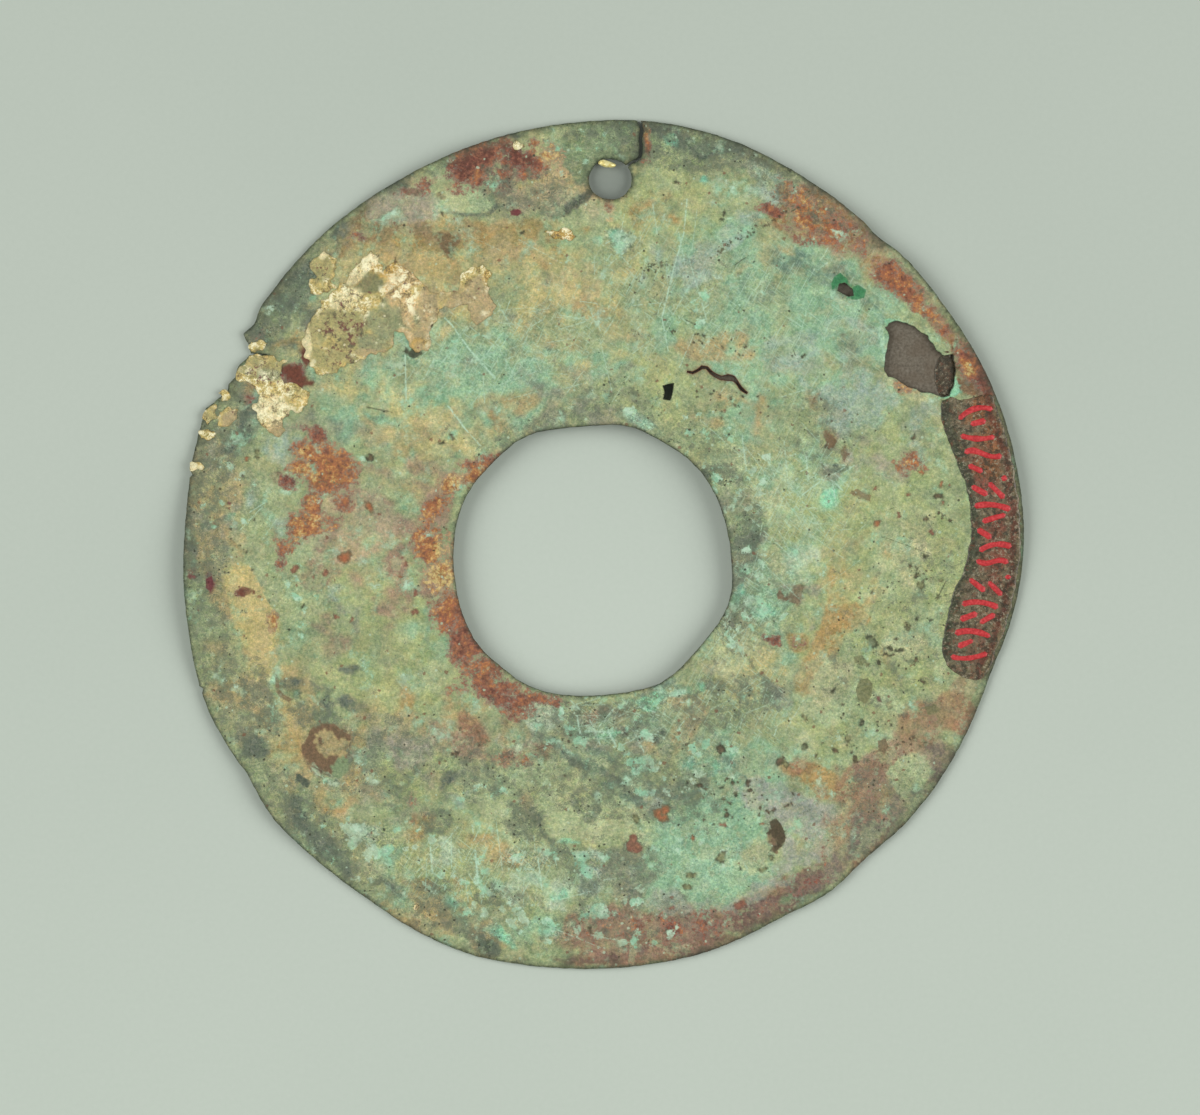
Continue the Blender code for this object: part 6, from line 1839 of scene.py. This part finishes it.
def dab_loop(path, number):
    # The outline of a brush stroke along the path, with pointed ends
    line = bent_line(place(path), 14)
    way = np.gradient(line, axis=0)
    way /= length_of(way)[:, None]
    aside = np.column_stack((-way[:, 1], way[:, 0]))
    width = DAB_HALF_WIDTH * (0.85 + 0.3 * cloud(line, 0.8, 90 + number, 1))
    left = line + aside * width[:, None]
    right = line - aside * width[:, None]
    tip = line[-1] + way[-1] * DAB_HALF_WIDTH * 0.8
    tail = line[0] - way[0] * DAB_HALF_WIDTH * 0.8
    return smooth_loop(counter_clockwise(np.vstack((right, [tip], left[::-1], [tail]))), 0.12)


def dab_bottom(points):
    return lacquer_level(points) + 0.02


def make_dabs():
    made = []
    for number, path in enumerate(DABS):
        loop = dab_loop(path, number)

        def dab_top(points):
            return lacquer_level(points) + 0.07 + 0.06 * np.clip(distance_to(loop, points) / 0.15, 0, 1)

        dab, kind = thin_solid("dab", [loop], 0.12, dab_top, dab_bottom, DAB_ROWS, 0.2)
        made.append(dab)
    dabs = join(made, "red_dabs")
    dabs.data.materials.append(red_paint())
    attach(dabs, "root")


def make_backing():
    # The solid's own outline, made finer and brought up against the sheet
    bpy.ops.object.select_all(action="DESELECT")
    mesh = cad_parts["backing"].data.copy()
    backing = bpy.data.objects.new("repair_backing", mesh)
    bpy.context.scene.collection.objects.link(backing)
    bpy.context.view_layer.objects.active = backing
    backing.select_set(True)
    mesh.materials.clear()
    bpy.ops.object.mode_set(mode="EDIT")
    bpy.ops.mesh.select_all(action="SELECT")
    bpy.ops.mesh.remove_doubles(threshold=0.002 * MM)
    bpy.ops.mesh.subdivide(number_cuts=3)
    bpy.ops.object.mode_set(mode="OBJECT")
    points = points_of(backing)
    flat = points[:, :2]
    high = np.clip((points[:, 2] - (lift(flat) - BOND - BACKING_THICKNESS)) / BACKING_THICKNESS, 0, 1)
    uneven = (cloud(flat, 1.2, 33, 3) - 0.5) * 0.03
    points[:, 2] = lift(flat) - BACKING_GAP - BACKING_DEPTH * (1 - high) + uneven * (1 - high)
    move_points(backing, points)
    mesh.shade_smooth()
    mesh.set_sharp_from_angle(angle=math.radians(50))
    mesh.materials.append(backing_sheet())
    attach(backing, "root")
    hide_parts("backing")


def make_burr():
    # A curl of the gilded edge at the top of the hanging hole
    bpy.ops.object.select_all(action="DESELECT")
    bpy.ops.mesh.primitive_uv_sphere_add(segments=36, ring_count=20, radius=1.0)
    burr = bpy.context.active_object
    burr.name = "gilded_burr"
    points = np.array([vert.co for vert in burr.data.vertices])
    uneven = 1 + (cloud(points[:, :2] * 2 + points[:, 2:], 1.0, 66, 2) - 0.5) * 0.3
    points = points * uneven[:, None] * BURR_SIZE
    points[:, :2] = points[:, :2] @ rotation(math.radians(-BURR_TURN))
    middle = place(BURR_PLACE)
    points += (*middle[0], lift(middle)[0] + SHEET - 0.05)
    move_points(burr, points)
    burr.data.shade_smooth()
    burr.data.materials.append(bright_gold())
    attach(burr, "root")


def make_board():
    bpy.ops.object.select_all(action="DESELECT")
    bpy.ops.mesh.primitive_plane_add(size=BOARD_SIZE, location=(0, 0, 0))
    board = bpy.context.active_object
    board.name = "pale_board"
    board.data.materials.append(pale_board())


def make_light():
    # A soft light on each side, and the glow of the room
    rise = math.radians(LIGHT_RISE)
    for name, bearing, power in LIGHTS:
        turn = math.radians(bearing)
        way = Vector((math.cos(turn) * math.cos(rise), math.sin(turn) * math.cos(rise), math.sin(rise)))
        light = bpy.data.lights.new(name, "AREA")
        light.shape = "DISK"
        light.size = LIGHT_SIZE
        light.energy = power
        lamp = bpy.data.objects.new(name, light)
        lamp.location = way * LIGHT_DISTANCE
        lamp.rotation_euler = way.to_track_quat("Z", "Y").to_euler()
        bpy.context.scene.collection.objects.link(lamp)
    room = bpy.data.worlds.new("soft_room")
    room.use_nodes = True
    glow = room.node_tree.nodes["Background"]
    glow.inputs["Color"].default_value = (1.0, 1.0, 1.0, 1)
    glow.inputs["Strength"].default_value = ROOM_GLOW
    bpy.context.scene.world = room


def make_camera():
    camera = bpy.data.cameras.new("camera")
    camera.lens = LENS
    camera.sensor_width = FILM
    camera.clip_start = 0.01
    eye = bpy.data.objects.new("camera", camera)
    distance = PICTURE_WIDTH * LENS / FILM + PICTURE_HEIGHT
    eye.location = (PICTURE_MIDDLE[0] * MM, PICTURE_MIDDLE[1] * MM, distance * MM)
    bpy.context.scene.collection.objects.link(eye)
    bpy.context.scene.camera = eye


make_sheet()
make_leaf()
make_lacquer()
make_dabs()
make_backing()
make_burr()
make_board()
make_light()
make_camera()
bpy.context.scene.view_settings.view_transform = "Standard"

bpy.context.view_layer.update()
